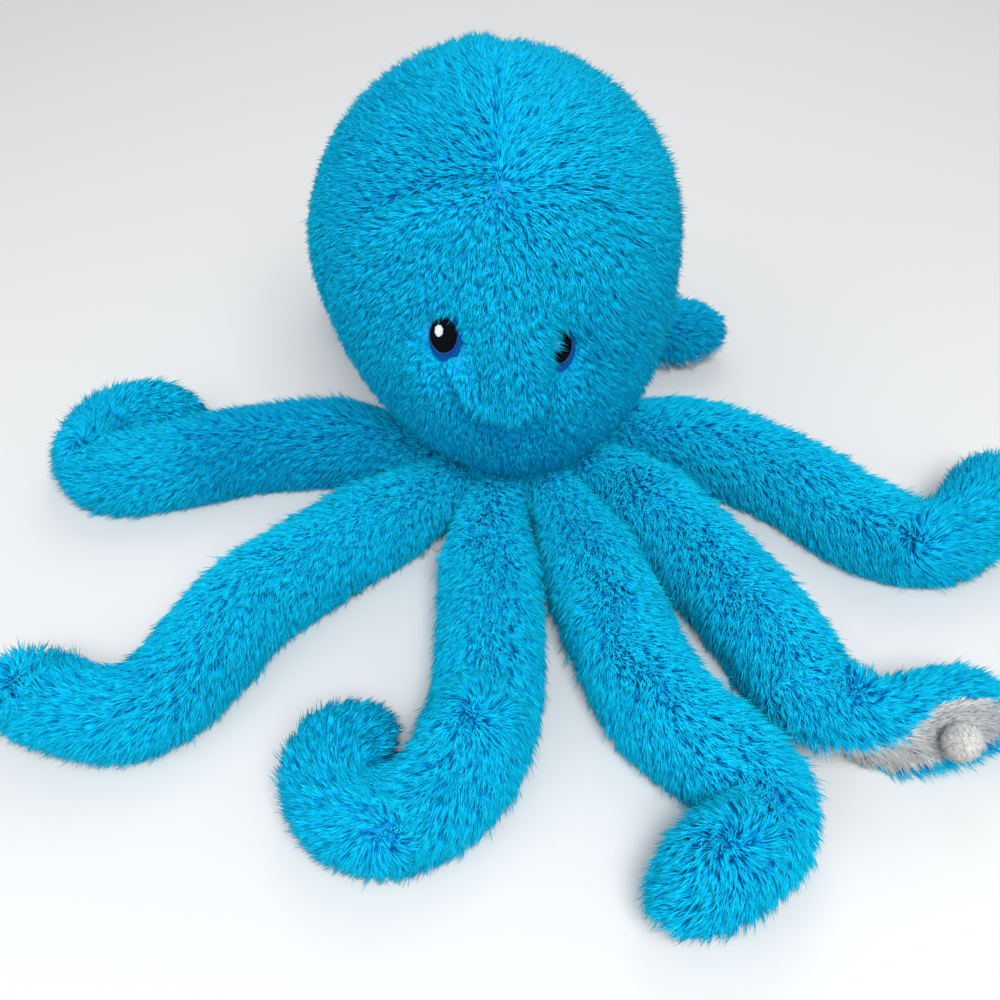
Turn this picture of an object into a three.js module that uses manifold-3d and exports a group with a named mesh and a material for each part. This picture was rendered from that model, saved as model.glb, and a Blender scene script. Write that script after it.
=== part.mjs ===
// A plush octopus lying on its spread arms: a stuffed pear-shaped head on a small round base,
// with eight stuffed arms sewn around the base. Millimetres and degrees, +Z up.
// The origin is on the floor, at the centre of the ring of arms, and the face looks along -Y.
import * as THREE from 'three';
import { mergeVertices } from 'three/addons/utils/BufferGeometryUtils.js';
import Module from 'manifold-3d';

const wasm = await Module();
wasm.setup();

// Fits and cuts
const FIT_GAP = 0.3;
const CUT_OVERRUN = 8;
const SIDE_OVERRUN = 1;
const TILT_CLEARANCE = 0.9;

// Fabric: the backing with the dense foot of its pile
const FABRIC_THICKNESS = 4;
const UNDERSIDE_THICKNESS = 3;

// Head: a ball above a taper that narrows to the neck, leaning a little back and left
const HEAD_RADIUS = 84;
const HEAD_CENTRE_HEIGHT = 136.5;
const HEAD_LEAN_LEFT = 12;
const HEAD_LEAN_BACK = 12.5;
const HEAD_DROP = 24;
const HEAD_TAPER_POWER = 2;
const LEAN_FADE_POWER = 1.3;
const RIM_ELEVATION = -68;
const NECK_RADIUS = 38;
const NECK_HEIGHT = 34;
const MUZZLE_RISE = 5;
const MUZZLE_ELEVATION = -17;
const MUZZLE_SPREAD = 20;
const FRONT = -90;

// Seams of the three head panels, as azimuth and elevation seen from the head's centre
const CROWN_SEAM = [-88, 44];
const LEFT_SEAM = [[-140, 21], [-188, -60]];
const RIGHT_SEAM = [[-42, 19], [8, -60]];

// Eyes: an oval iris, a pupil and a highlight, one on the other. The face is turned and slants a little.
const EYE_OFFSET_ANGLE = 16.6;
const FACE_TURN = 2.4;
const FACE_SLANT = 2.2;
const EYE_ELEVATION = -1.3;
const EYE_TILT = 6;
const IRIS_WIDTH = 15;
const IRIS_HEIGHT = 21;
const PUPIL_WIDTH = 12;
const PUPIL_HEIGHT = 17;
const PUPIL_RAISE = 1.6;
const HIGHLIGHT_WIDTH = 4.4;
const HIGHLIGHT_HEIGHT = 6;
const HIGHLIGHT_RAISE = 4;
const HIGHLIGHT_ASIDE = 1.8;
const EYE_LAYER = 1.2;

// Base: a round bag of fill on a flat disc, which the head tilts on
const TILT_HEIGHT = 14;
const BASE_RADIUS = 34;
const DISC_RADIUS = 36.5;

// Arms
const ARM_LENGTH = 264;
const HINGE_RADIUS = 46;
const ARM_ROOT_WIDTH = 27.4;
const ARM_ROOT_HEIGHT = 26;
const ARM_ROOT_TAPER_SHARE = 0.6;
const ARM_SWELL_LENGTH = 42;
const ARM_RISE_LENGTH = 63;
const ARM_WIDTH = 40;
const ARM_HEIGHT = 34;
const ARM_END_WIDTH = 32;
const ARM_END_HEIGHT = 28;
const ARM_TIP_LENGTH = 30;
const STUFFING_START = 5;
const MIDDLE_SHARE = 0.42;
const TIP_RISE_START = 78;
const TIP_RISE_END = 30;

// Pom-poms, under the arms' tips
const POMPOM_WIDTH = 18;
const POMPOM_HEIGHT = 6;
const POMPOM_FROM_TIP = 22;
const ROLLED_POMPOM_FROM_TIP = 32;

// Steps of the faceted surfaces
const HEAD_AZIMUTHS = 30;
const HEAD_ELEVATIONS = [80, 64, 48, 33, 18, 4, -10, -24, -38, -53, RIM_ELEVATION];
const BASE_SEGMENTS = 20;
const EYE_SEGMENTS = 10;
const ROUTE_STEPS = 290;
const STATION_LENGTH = 26;
const BEND_STATION_LENGTH = 20;
const SKIN_STEPS = 8;
const FILL_STEPS = 6;
const ROOT_ROUND_ANGLES = [75, 50, 25];
const TIP_ROUND_ANGLES = [33, 58, 78];
const SMALL_ANGLE = 1;

// Each arm's direction at its root, and how far it has turned from there at shares of its length.
// The roll turns the section about the arm's middle line, also at shares of its length.
const ARMS = [
  {
    name: 'arm_left',
    rootAngle: 179,
    turnShares: [[0, 0], [0.15, -2], [0.36, 13], [0.54, 20], [0.6, 13], [0.64, 3], [0.84, -150], [0.9, -176],
      [1, -178]],
  },
  {
    name: 'arm_front_left',
    rootAngle: 219,
    turnShares: [[0, 0], [0.2, 2], [0.43, 7], [0.55, 23], [0.66, 25], [0.74, -6], [0.82, -46], [0.9, -58], [1, -58]],
  },
  {
    name: 'arm_front',
    rootAngle: 256.5,
    turnShares: [[0, 0], [0.1, 14], [0.28, 14], [0.44, 10], [0.58, -8], [0.69, -41], [0.76, -67], [0.94, -216],
      [1, -228]],
  },
  {
    name: 'arm_front_right',
    rootAngle: 297,
    turnShares: [[0, 0], [0.1, -12], [0.28, -13], [0.4, -13], [0.5, -3], [0.6, 21], [0.69, 15], [0.77, -37],
      [0.84, -80], [1, -80]],
  },
  {
    name: 'arm_right_front',
    rootAngle: 337,
    turnShares: [[0, 0], [0.1, -37], [0.3, -35], [0.46, -41], [0.59, -50], [0.66, -46], [0.76, 10], [0.82, 40],
      [0.9, 36], [1, 10]],
    rollShares: [[0, 0], [0.64, 0], [0.84, -115], [1, -115]],
  },
  {
    name: 'arm_right',
    rootAngle: 376,
    turnShares: [[0, 0], [0.08, -26], [0.24, -44], [0.38, -54], [0.5, -66], [0.61, -58], [0.71, -20], [0.81, 26],
      [0.9, 44], [1, 40]],
  },
  {
    name: 'arm_back_right',
    rootAngle: 413,
    turnShares: [[0, 0], [0.16, 54], [0.36, 62], [0.7, -138], [0.9, -56], [1, -44]],
  },
  {
    name: 'arm_back_left',
    rootAngle: 473,
    turnShares: [[0, 0], [0.15, 10], [0.35, 20], [0.5, 5], [0.62, -30], [0.85, -150], [1, -165]],
  },
];

const MATERIALS = {
  head_fur: { color: 0x12a5d6, roughness: 0.95, metalness: 0 },
  arm_fur: { color: 0x0c9ad8, roughness: 0.95, metalness: 0 },
  underside_plush: { color: 0xc3cbd2, roughness: 0.9, metalness: 0 },
  fibre_fill: { color: 0xf1f1ee, roughness: 1, metalness: 0 },
  pompom_yarn: { color: 0xf0eee8, roughness: 0.95, metalness: 0 },
  iris_thread: { color: 0x123f9c, roughness: 0.5, metalness: 0 },
  pupil_thread: { color: 0x08080a, roughness: 0.4, metalness: 0 },
  highlight_thread: { color: 0xe4e8ee, roughness: 0.5, metalness: 0 },
};

// No turn or roll, from the root to the tip
const FLAT_SHARES = [[0, 0], [1, 0]];

const radians = THREE.MathUtils.degToRad;
const smooth = THREE.MathUtils.smoothstep;

function material(slot) {
  const made = new THREE.MeshStandardMaterial(MATERIALS[slot]);
  made.name = slot;
  return made;
}

function named(name, geometry, slot) {
  const mesh = new THREE.Mesh(geometry, material(slot));
  mesh.name = name;
  return mesh;
}

// Solids for joining and cutting

function solid(geometry) {
  const bare = geometry.clone();
  bare.deleteAttribute('normal');
  bare.deleteAttribute('uv');
  const merged = mergeVertices(bare);
  return new wasm.Manifold(new wasm.Mesh({
    numProp: 3,
    vertProperties: new Float32Array(merged.attributes.position.array),
    triVerts: new Uint32Array(merged.index.array),
  }));
}

function geometryOf(manifold) {
  const mesh = manifold.getMesh();
  const geometry = new THREE.BufferGeometry();
  geometry.setAttribute('position', new THREE.BufferAttribute(mesh.vertProperties, 3));
  geometry.setIndex(new THREE.BufferAttribute(mesh.triVerts, 1));
  geometry.computeVertexNormals();
  return geometry;
}

// A closed surface through rings of points, which run counter-clockwise seen from the last ring
function skinOf(rings) {
  const count = rings[0].length;
  const points = rings.flat();
  const faces = [];
  for (let ring = 1; ring < rings.length; ring += 1) {
    const near = (ring - 1) * count;
    const far = ring * count;
    for (let i = 0; i < count; i += 1) {
      const next = (i + 1) % count;
      faces.push(near + i, near + next, far + next);
      faces.push(near + i, far + next, far + i);
    }
  }
  const last = (rings.length - 1) * count;
  for (let i = 1; i < count - 1; i += 1) {
    faces.push(0, i + 1, i);
    faces.push(last, last + i, last + i + 1);
  }
  const geometry = new THREE.BufferGeometry().setFromPoints(points);
  geometry.setIndex(faces);
  geometry.computeVertexNormals();
  return geometry;
}

// The half of space on the side that the normal points to, as a large box
function halfSpace(point, normal, offset) {
  const size = (HEAD_RADIUS + HEAD_CENTRE_HEIGHT) * 2;
  const box = new THREE.BoxGeometry(size, size, size);
  box.translate(0, 0, size / 2 + offset);
  box.applyQuaternion(new THREE.Quaternion().setFromUnitVectors(new THREE.Vector3(0, 0, 1), normal));
  box.translate(point.x, point.y, point.z);
  return solid(box);
}

// Head

const headCentre = new THREE.Vector3(-HEAD_LEAN_LEFT, HEAD_LEAN_BACK, HEAD_CENTRE_HEIGHT);

function direction(azimuth, elevation) {
  const flat = Math.cos(radians(elevation));
  return new THREE.Vector3(
    flat * Math.cos(radians(azimuth)),
    flat * Math.sin(radians(azimuth)),
    Math.sin(radians(elevation)),
  );
}

// A point of the head's outside, moved along the line from its centre by lift.
// Below the centre the lean fades out towards the neck, over the middle of the base.
function headPoint(azimuth, elevation, lift) {
  const away = direction(azimuth, elevation);
  const below = Math.max(-elevation, 0) / -RIM_ELEVATION;
  const fromMuzzle = radians(MUZZLE_SPREAD);
  const angle = away.angleTo(direction(FRONT + FACE_TURN, MUZZLE_ELEVATION));
  const muzzle = MUZZLE_RISE * Math.exp(-((angle / fromMuzzle) ** 2));
  const reach = HEAD_RADIUS + HEAD_DROP * below ** HEAD_TAPER_POWER + muzzle + lift;
  const point = away.multiplyScalar(reach).add(headCentre);
  const sunk = Math.max(HEAD_CENTRE_HEIGHT - point.z, 0) / (HEAD_CENTRE_HEIGHT - NECK_HEIGHT);
  const faded = Math.min(sunk ** LEAN_FADE_POWER, 1);
  point.x -= headCentre.x * faded;
  point.y -= headCentre.y * faded;
  return point;
}

// The head's surface, moved outwards by lift, closed by a round neck that reaches down to neckHeight
function headShape(lift, neckHeight) {
  const rings = [];
  for (const elevation of HEAD_ELEVATIONS) {
    const ring = [];
    for (let step = 0; step < HEAD_AZIMUTHS; step += 1) {
      ring.push(headPoint(step * 360 / HEAD_AZIMUTHS, elevation, lift));
    }
    rings.push(ring);
  }
  const neck = [];
  for (let step = 0; step < HEAD_AZIMUTHS; step += 1) {
    const away = direction(step * 360 / HEAD_AZIMUTHS, 0).multiplyScalar(NECK_RADIUS + lift);
    neck.push(away.setZ(neckHeight));
  }
  rings.push(neck);
  return solid(skinOf(rings.reverse()));
}

// A plane through three places on the head, whose normal points to the back of the head
function seamPlane(side) {
  const places = [CROWN_SEAM, ...side].map(([azimuth, elevation]) => headPoint(azimuth, elevation, 0));
  const plane = new THREE.Plane().setFromCoplanarPoints(...places);
  if (plane.normal.y < 0) {
    plane.negate();
  }
  return { point: places[0], normal: plane.normal };
}

function headParts() {
  const shell = headShape(0, NECK_HEIGHT).subtract(headShape(-FABRIC_THICKNESS, NECK_HEIGHT - CUT_OVERRUN));
  const crown = headPoint(...CROWN_SEAM, 0);
  const sides = [
    { name: 'head_panel_left', seam: seamPlane(LEFT_SEAM), outwards: new THREE.Vector3(-1, 0, 0) },
    { name: 'head_panel_right', seam: seamPlane(RIGHT_SEAM), outwards: new THREE.Vector3(1, 0, 0) },
  ];
  const meshes = [];
  let face = shell;
  for (const { name, seam, outwards } of sides) {
    const beside = halfSpace(crown, outwards, 0);
    const besideSeam = halfSpace(crown, outwards, FIT_GAP / 2);
    const behind = halfSpace(seam.point, seam.normal, 0);
    const behindFace = halfSpace(seam.point, seam.normal, -FIT_GAP);
    const panel = shell.intersect(besideSeam).intersect(behind);
    meshes.push(named(name, geometryOf(panel), 'head_fur'));
    face = face.subtract(beside.intersect(behindFace));
  }
  meshes.push(named('face_panel', geometryOf(face), 'head_fur'));
  const fill = headShape(-FABRIC_THICKNESS - FIT_GAP, NECK_HEIGHT).subtract(baseBall(TILT_CLEARANCE));
  meshes.push(named('head_stuffing', geometryOf(fill), 'fibre_fill'));
  for (const side of [-1, 1]) {
    meshes.push(...eye(side));
  }
  return meshes;
}

// One eye, whose plates lie on the face in the order iris, pupil, highlight
function eye(side) {
  const azimuth = FRONT + FACE_TURN + side * EYE_OFFSET_ANGLE;
  const elevation = EYE_ELEVATION - side * FACE_SLANT;
  const seat = headPoint(azimuth, elevation, 0);
  const across = headPoint(azimuth + SMALL_ANGLE, elevation, 0).sub(seat).normalize();
  const up = headPoint(azimuth, elevation + SMALL_ANGLE, 0).sub(seat).normalize();
  const outwards = new THREE.Vector3().crossVectors(across, up).normalize();
  up.crossVectors(outwards, across);
  const turned = new THREE.Matrix4().makeBasis(across, up, outwards);
  const word = side < 0 ? 'left' : 'right';
  const plates = [
    { part: 'iris', width: IRIS_WIDTH, height: IRIS_HEIGHT, aside: 0, raise: 0, slot: 'iris_thread' },
    { part: 'pupil', width: PUPIL_WIDTH, height: PUPIL_HEIGHT, aside: 0, raise: PUPIL_RAISE, slot: 'pupil_thread' },
    {
      part: 'highlight',
      width: HIGHLIGHT_WIDTH,
      height: HIGHLIGHT_HEIGHT,
      aside: -HIGHLIGHT_ASIDE,
      raise: HIGHLIGHT_RAISE,
      slot: 'highlight_thread',
    },
  ];
  return plates.map(({ part, width, height, aside, raise, slot }, layer) => {
    const outline = new THREE.Shape().absellipse(aside, raise, width / 2, height / 2, 0, Math.PI * 2);
    const plate = new THREE.ExtrudeGeometry(outline, {
      depth: EYE_LAYER,
      bevelEnabled: false,
      curveSegments: EYE_SEGMENTS,
    });
    const mesh = named(`eye_${word}_${part}`, plate, slot);
    mesh.quaternion.setFromRotationMatrix(turned);
    mesh.rotateZ(radians(side * EYE_TILT));
    mesh.position.copy(seat).addScaledVector(outwards, FIT_GAP + layer * (EYE_LAYER + FIT_GAP));
    return mesh;
  });
}

// Base

function baseBall(extra) {
  const ball = new THREE.SphereGeometry(BASE_RADIUS + extra, BASE_SEGMENTS, BASE_SEGMENTS / 2);
  ball.rotateX(radians(90));
  ball.translate(0, 0, TILT_HEIGHT);
  return solid(ball);
}

// The round end of an arm's root, as a rod along the arm's hinge
function rootRod(rootAngle, extra) {
  const radius = ARM_ROOT_HEIGHT / 2 + extra;
  const rod = new THREE.CylinderGeometry(radius, radius, ARM_ROOT_WIDTH + FIT_GAP * 2, BASE_SEGMENTS);
  rod.translate(HINGE_RADIUS, 0, ARM_ROOT_HEIGHT / 2);
  rod.rotateZ(radians(rootAngle));
  return solid(rod);
}

function baseParts() {
  const disc = new THREE.CylinderGeometry(DISC_RADIUS, DISC_RADIUS, UNDERSIDE_THICKNESS, BASE_SEGMENTS);
  disc.rotateX(radians(90));
  disc.translate(0, 0, UNDERSIDE_THICKNESS / 2);
  const floor = new THREE.Vector3(0, 0, UNDERSIDE_THICKNESS + FIT_GAP);
  let bag = baseBall(0).intersect(halfSpace(floor, new THREE.Vector3(0, 0, 1), 0));
  for (const { rootAngle } of ARMS) {
    bag = bag.subtract(rootRod(rootAngle, FIT_GAP));
  }
  return [
    named('underside_disc', disc, 'underside_plush'),
    named('base_stuffing', geometryOf(bag), 'fibre_fill'),
  ];
}

// Arms. Each is made along the +X of its own group, which is turned to the arm's root angle.

function valueAt(table, share) {
  for (let i = 1; i < table.length; i += 1) {
    const [from, low] = table[i - 1];
    const [to, high] = table[i];
    if (share <= to) {
      return low + (high - low) * (share - from) / (to - from);
    }
  }
  return table[table.length - 1][1];
}

// The arm's middle line on the floor, stepped along its turns
function armRoute({ turnShares, rollShares = FLAT_SHARES }) {
  const step = ARM_LENGTH / ROUTE_STEPS;
  const route = [{ along: 0, x: HINGE_RADIUS, y: 0, turn: 0, roll: 0, cost: 0 }];
  for (let i = 1; i <= ROUTE_STEPS; i += 1) {
    const before = route[i - 1];
    const turn = valueAt(turnShares, i / ROUTE_STEPS);
    const roll = valueAt(rollShares, i / ROUTE_STEPS);
    const middle = radians((turn + before.turn) / 2);
    const bend = Math.abs(radians(turn - before.turn)) + Math.abs(radians(roll - before.roll));
    route.push({
      along: i * step,
      x: before.x + step * Math.cos(middle),
      y: before.y + step * Math.sin(middle),
      turn,
      roll,
      cost: before.cost + step + BEND_STATION_LENGTH * bend,
    });
  }
  return route;
}

function placeOn(route, along) {
  if (along <= 0) {
    return { x: HINGE_RADIUS + along, y: 0, turn: 0, roll: 0 };
  }
  const at = Math.min(along / ARM_LENGTH, 1) * ROUTE_STEPS;
  const i = Math.min(Math.floor(at), ROUTE_STEPS - 1);
  const mix = at - i;
  const [a, b] = [route[i], route[i + 1]];
  const mixed = (key) => a[key] + (b[key] - a[key]) * mix;
  return { x: mixed('x'), y: mixed('y'), turn: mixed('turn'), roll: mixed('roll') };
}

// Places along the arm from its hinge to where its tip rounds, closer together where it turns
function stationsOf(route) {
  const body = ARM_LENGTH - ARM_TIP_LENGTH;
  const total = route.find(({ along }) => along >= body).cost;
  const count = Math.round(total / STATION_LENGTH);
  const places = [];
  for (let i = 0; i <= count; i += 1) {
    const wanted = total * i / count;
    places.push(Math.min(route.find(({ cost }) => cost >= wanted).along, body));
  }
  return places;
}

// The arm's section at a place: its width, its lowest and highest points and its middle
function sectionAt(along) {
  const swell = smooth(along, 0, ARM_RISE_LENGTH);
  const end = smooth(along, ARM_LENGTH / 2, ARM_LENGTH - ARM_TIP_LENGTH);
  const height = THREE.MathUtils.lerp(
    THREE.MathUtils.lerp(ARM_ROOT_HEIGHT, ARM_HEIGHT, swell),
    ARM_END_HEIGHT,
    end,
  );
  let width = THREE.MathUtils.lerp(
    Math.min(THREE.MathUtils.lerp(ARM_ROOT_WIDTH, ARM_WIDTH, along / ARM_SWELL_LENGTH), ARM_WIDTH),
    ARM_END_WIDTH,
    end,
  );
  let low = 0;
  let high = height;
  if (along < 0) {
    const radius = ARM_ROOT_HEIGHT / 2;
    const half = Math.sqrt(radius ** 2 - along ** 2);
    low = radius - half;
    high = radius + half;
    width = ARM_ROOT_WIDTH + along * ARM_ROOT_TAPER_SHARE;
  }
  const round = Math.max(along - ARM_LENGTH + ARM_TIP_LENGTH, 0) / ARM_TIP_LENGTH;
  const left = Math.sqrt(Math.max(1 - round ** 2, 0));
  const middle = low + (high - low) * MIDDLE_SHARE;
  low = middle - (middle - low) * left;
  high = middle + (high - middle) * left;
  width *= left;
  return { width, low, high, middle, seam: seamHeight(along, low) };
}

// The height of the underside strip's upper face
function seamHeight(along, low) {
  return along < 0 ? UNDERSIDE_THICKNESS : low + UNDERSIDE_THICKNESS;
}

// An oval section's outline, from one lower edge over the top to the other, drawn in by inset
function ovalOutline({ width, high, middle }, inset, bottom, steps) {
  const across = width / 2 - inset;
  const upwards = high - middle - inset;
  const under = Math.asin(Math.min((middle - bottom) / upwards, 1));
  const points = [];
  for (let i = 0; i <= steps; i += 1) {
    const angle = -under + (Math.PI + under * 2) * i / steps;
    points.push(new THREE.Vector2(across * Math.cos(angle), middle + upwards * Math.sin(angle)));
  }
  return points;
}

// A slab under the section that reaches up to the given height
function slabOutline({ width, low }, height) {
  const aside = width / 2 + SIDE_OVERRUN;
  return [
    new THREE.Vector2(aside, low - CUT_OVERRUN),
    new THREE.Vector2(aside, height),
    new THREE.Vector2(-aside, height),
    new THREE.Vector2(-aside, low - CUT_OVERRUN),
  ];
}

// Puts an outline in space at a place along the arm: rolled about its middle and set on the floor,
// and raised near the tip where the pom-pom lies under the arm
function framer(arm, route) {
  const rolls = arm.rollShares !== undefined;
  return (along, outline) => {
    const section = sectionAt(along);
    const { x, y, turn, roll } = placeOn(route, along);
    const rolled = radians(roll);
    const aside = new THREE.Vector2(-Math.sin(radians(turn)), Math.cos(radians(turn)));
    const centre = new THREE.Vector2(0, section.middle);
    const whole = ovalOutline(section, 0, section.low, SKIN_STEPS);
    const lowest = Math.min(...whole.map((point) => point.rotateAround(centre, rolled).y));
    const rise = (POMPOM_HEIGHT + FIT_GAP) * smooth(along, ARM_LENGTH - TIP_RISE_START, ARM_LENGTH - TIP_RISE_END);
    const lift = rolls ? section.low - lowest : rise;
    return outline.map((point) => {
      const turned = point.clone().rotateAround(centre, rolled);
      return new THREE.Vector3(x + aside.x * turned.x, y + aside.y * turned.x, turned.y + lift);
    });
  };
}

function armParts(arm) {
  const route = armRoute(arm);
  const frame = framer(arm, route);
  const body = stationsOf(route);
  const end = body[body.length - 1];
  const root = ROOT_ROUND_ANGLES.map((angle) => -ARM_ROOT_HEIGHT / 2 * Math.sin(radians(angle)));
  const tip = TIP_ROUND_ANGLES.map((angle) => ARM_LENGTH - ARM_TIP_LENGTH * (1 - Math.sin(radians(angle))));
  const sweep = (places, outlineAt) => solid(skinOf(places.map((along) => frame(along, outlineAt(sectionAt(along))))));

  // The strip's ends, and the same cut wider by the gap for what lies on the strip
  const stripStart = root[root.length - 1];
  const stripEnd = tip[tip.length - 2];
  const slab = (gap) => sweep(
    [stripStart - gap, ...body, tip[0], stripEnd + gap],
    (section) => slabOutline(section, section.seam + gap),
  );
  const between = body.filter((along) => along > STUFFING_START + STATION_LENGTH / 2 && along < end);
  const inside = (gap) => sweep(
    [STUFFING_START + gap, ...between, end - gap],
    (section) => ovalOutline(section, FABRIC_THICKNESS + gap, section.seam - UNDERSIDE_THICKNESS / 2, FILL_STEPS),
  );
  const whole = sweep([...root, ...body, ...tip], (section) => ovalOutline(section, 0, section.low, SKIN_STEPS));
  const skin = whole.subtract(slab(FIT_GAP)).subtract(inside(0));
  const fill = inside(FIT_GAP).subtract(slab(FIT_GAP));

  const group = new THREE.Group();
  group.rotation.z = radians(arm.rootAngle);
  group.add(
    named(`${arm.name}_top`, geometryOf(skin), 'arm_fur'),
    named(`${arm.name}_underside`, geometryOf(whole.intersect(slab(0))), 'underside_plush'),
    named(`${arm.name}_stuffing`, geometryOf(fill), 'fibre_fill'),
    pompom(arm, frame),
  );
  return group;
}

// The pom-pom: flattened between the arm's underside and the floor, or round where the arm rolls over
function pompom(arm, frame) {
  const along = ARM_LENGTH - (arm.rollShares ? ROLLED_POMPOM_FROM_TIP : POMPOM_FROM_TIP);
  const height = arm.rollShares ? POMPOM_WIDTH : POMPOM_HEIGHT;
  const { low } = sectionAt(along);
  const [centre, seat] = frame(along, [
    new THREE.Vector2(0, low - FIT_GAP - height / 2),
    new THREE.Vector2(0, low),
  ]);
  const ball = new THREE.IcosahedronGeometry(POMPOM_WIDTH / 2, 1);
  const mesh = named(`${arm.name}_pompom`, ball, 'pompom_yarn');
  mesh.scale.z = height / POMPOM_WIDTH;
  mesh.quaternion.setFromUnitVectors(new THREE.Vector3(0, 0, 1), seat.sub(centre).normalize());
  mesh.position.copy(centre);
  return mesh;
}

const octopus = new THREE.Group();
octopus.name = 'plush_octopus';
octopus.add(...baseParts(), ...headParts());
for (const arm of ARMS) {
  octopus.add(armParts(arm));
}

export default octopus;
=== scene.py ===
"""A plush octopus: fur, plush underside, embroidered eyes and pom-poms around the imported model.

Shapes are worked out in millimetres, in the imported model's frame, and become metres when a mesh is made.
"""

import math

import bmesh
import bpy
import numpy as np
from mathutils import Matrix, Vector


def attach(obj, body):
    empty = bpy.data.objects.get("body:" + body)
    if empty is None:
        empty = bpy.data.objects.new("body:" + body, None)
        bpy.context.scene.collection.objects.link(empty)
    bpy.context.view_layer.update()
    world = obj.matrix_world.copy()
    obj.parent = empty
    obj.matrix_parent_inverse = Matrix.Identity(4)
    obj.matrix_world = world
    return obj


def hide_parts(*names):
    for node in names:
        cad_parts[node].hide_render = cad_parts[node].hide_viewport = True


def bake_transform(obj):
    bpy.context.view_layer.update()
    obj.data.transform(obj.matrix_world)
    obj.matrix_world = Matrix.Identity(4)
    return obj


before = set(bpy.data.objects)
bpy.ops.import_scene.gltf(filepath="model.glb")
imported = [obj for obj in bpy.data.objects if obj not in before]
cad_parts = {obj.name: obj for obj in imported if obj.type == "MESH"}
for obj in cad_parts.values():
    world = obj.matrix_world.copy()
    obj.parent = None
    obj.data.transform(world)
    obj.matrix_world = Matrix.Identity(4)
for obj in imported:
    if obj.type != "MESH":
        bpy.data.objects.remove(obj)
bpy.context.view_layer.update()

MM = 0.001
FUR_MAP = "OFBake"
UP = np.array([0.0, 0.0, 1.0])
RIGHT = np.array([1.0, 0.0, 0.0])

# Head: a ball above a taper that narrows to the neck, leaning a little back and left
HEAD_RADIUS = 84.0
HEAD_CENTRE = np.array([-12.0, 12.5, 136.5])
HEAD_DROP = 24.0
HEAD_TAPER_POWER = 2.0
LEAN_FADE_POWER = 1.3
RIM_ANGLE = 68.0
NECK_RADIUS = 38.0
NECK_HEIGHT = 34.0
MUZZLE_RISE = 5.0
MUZZLE_SPREAD = 20.0
FRONT = -90.0
FACE_TURN = 2.4
FACE_SLANT = 2.2
MUZZLE_PLACE = (FRONT + FACE_TURN, -17.0)

# Seams of the three head panels, as azimuth and elevation seen from the head's centre
CROWN_SEAM = (-88.0, 44.0)
LEFT_SEAM = ((-140.0, 21.0), (-188.0, -60.0))
RIGHT_SEAM = ((-42.0, 19.0), (8.0, -60.0))

# The mouth: the fold under the muzzle, as elevations over azimuths
MOUTH_AZIMUTHS = (-116.0, -107.0, -102.0, -97.0, -92.0, -85.0, -77.5, -70.0, -62.0)
MOUTH_ELEVATIONS = (-4.0, -9.0, -12.0, -16.5, -20.0, -20.5, -17.5, -12.0, -6.0)
MOUTH_MIDDLE = -89.5
MOUTH_HALF_WIDTH = 14.0
LIP_RISE = 5.5
CHIN_SINK = 5.0

# How deep the seams lie, and the dip and the ridge along the left one
SEAM_SINK = 1.2
LEFT_SEAM_SINK = 2.8
CROWN_SEAM_SINK = 0.8
LEFT_DIP_SINK = 3.4
LEFT_RIDGE_RISE = 1.8
CROWN_SWELL = 2.2

# Spots on the face, as azimuth and elevation, and how far they sink or rise. On the right cheek the fur is
# painted darker: painted shade
CREASE = (-76.0, -20.0)
NOTCH = (-101.5, -16.0)
BRIDGE = (-86.0, -4.0)
BY_RIGHT_EYE = (-79.5, -3.0)
RIGHT_CHEEK = (-61.0, -3.0)
CREASE_SINK = 3.2
NOTCH_SINK = 4.5
BRIDGE_RISE = 2.4
BY_RIGHT_EYE_RISE = 3.2
EYE_SINK = 2.2

# Eyes
EYE_OFFSET_ANGLE = 16.6
EYE_ELEVATION = -1.3
EYE_TILT = 6.0
IRIS_SIZE = (15.0, 21.0)
PUPIL_SIZE = (12.0, 17.0)
PUPIL_RAISE = 1.6
HIGHLIGHT_SIZE = (3.8, 5.6)
HIGHLIGHT_RAISE = 4.0
HIGHLIGHT_ASIDE = 1.8
EYE_LAYER = 1.2
EDGE_RAISE = 1.5
EDGE_RADIUS = 0.34
EDGE_ANGLES = (172, 368)
FIT_GAP = 0.3

# Fabric, and base
FABRIC = 2.4
HEAD_FILL_DEPTH = 8.0
ARM_FILL_DEPTH = 6
PALE_LOW = 0.9
PALE_HIGH = 2.6
DISC_HIGH = 2.9
TILT_HEIGHT = 14.0
BASE_RADIUS = 34.0
DISC_RADIUS = 36.5

# Arms
ARM_LENGTH = 264.0
HINGE_RADIUS = 46.0
ARM_ROOT_WIDTH = 27.4
ARM_ROOT_HEIGHT = 26.0
ARM_ROOT_TAPER = 0.6
ARM_SWELL_LENGTH = 42.0
ARM_ROUND_LENGTH = 63.0
ARM_WIDTH = 40.0
ARM_HEIGHT = 34.0
ARM_END_WIDTH = 32.0
ARM_END_HEIGHT = 28.0
ARM_TIP_LENGTH = 30.0
MIDDLE_SHARE = 0.42
TIP_RISE_START = 78.0
TIP_RISE_END = 30.0
UNDERSIDE_THICKNESS = 3.0
POMPOM_WIDTH = 18.0
POMPOM_HEIGHT = 6.0
POMPOM_FROM_TIP = 22.0
ROLLED_POMPOM_FROM_TIP = 32.0
ROUTE_STEPS = 290
EDGE_SHARE = 0.045
CREASE_DEPTH = 4.0
CREASE_WIDTH = 4.5
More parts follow.
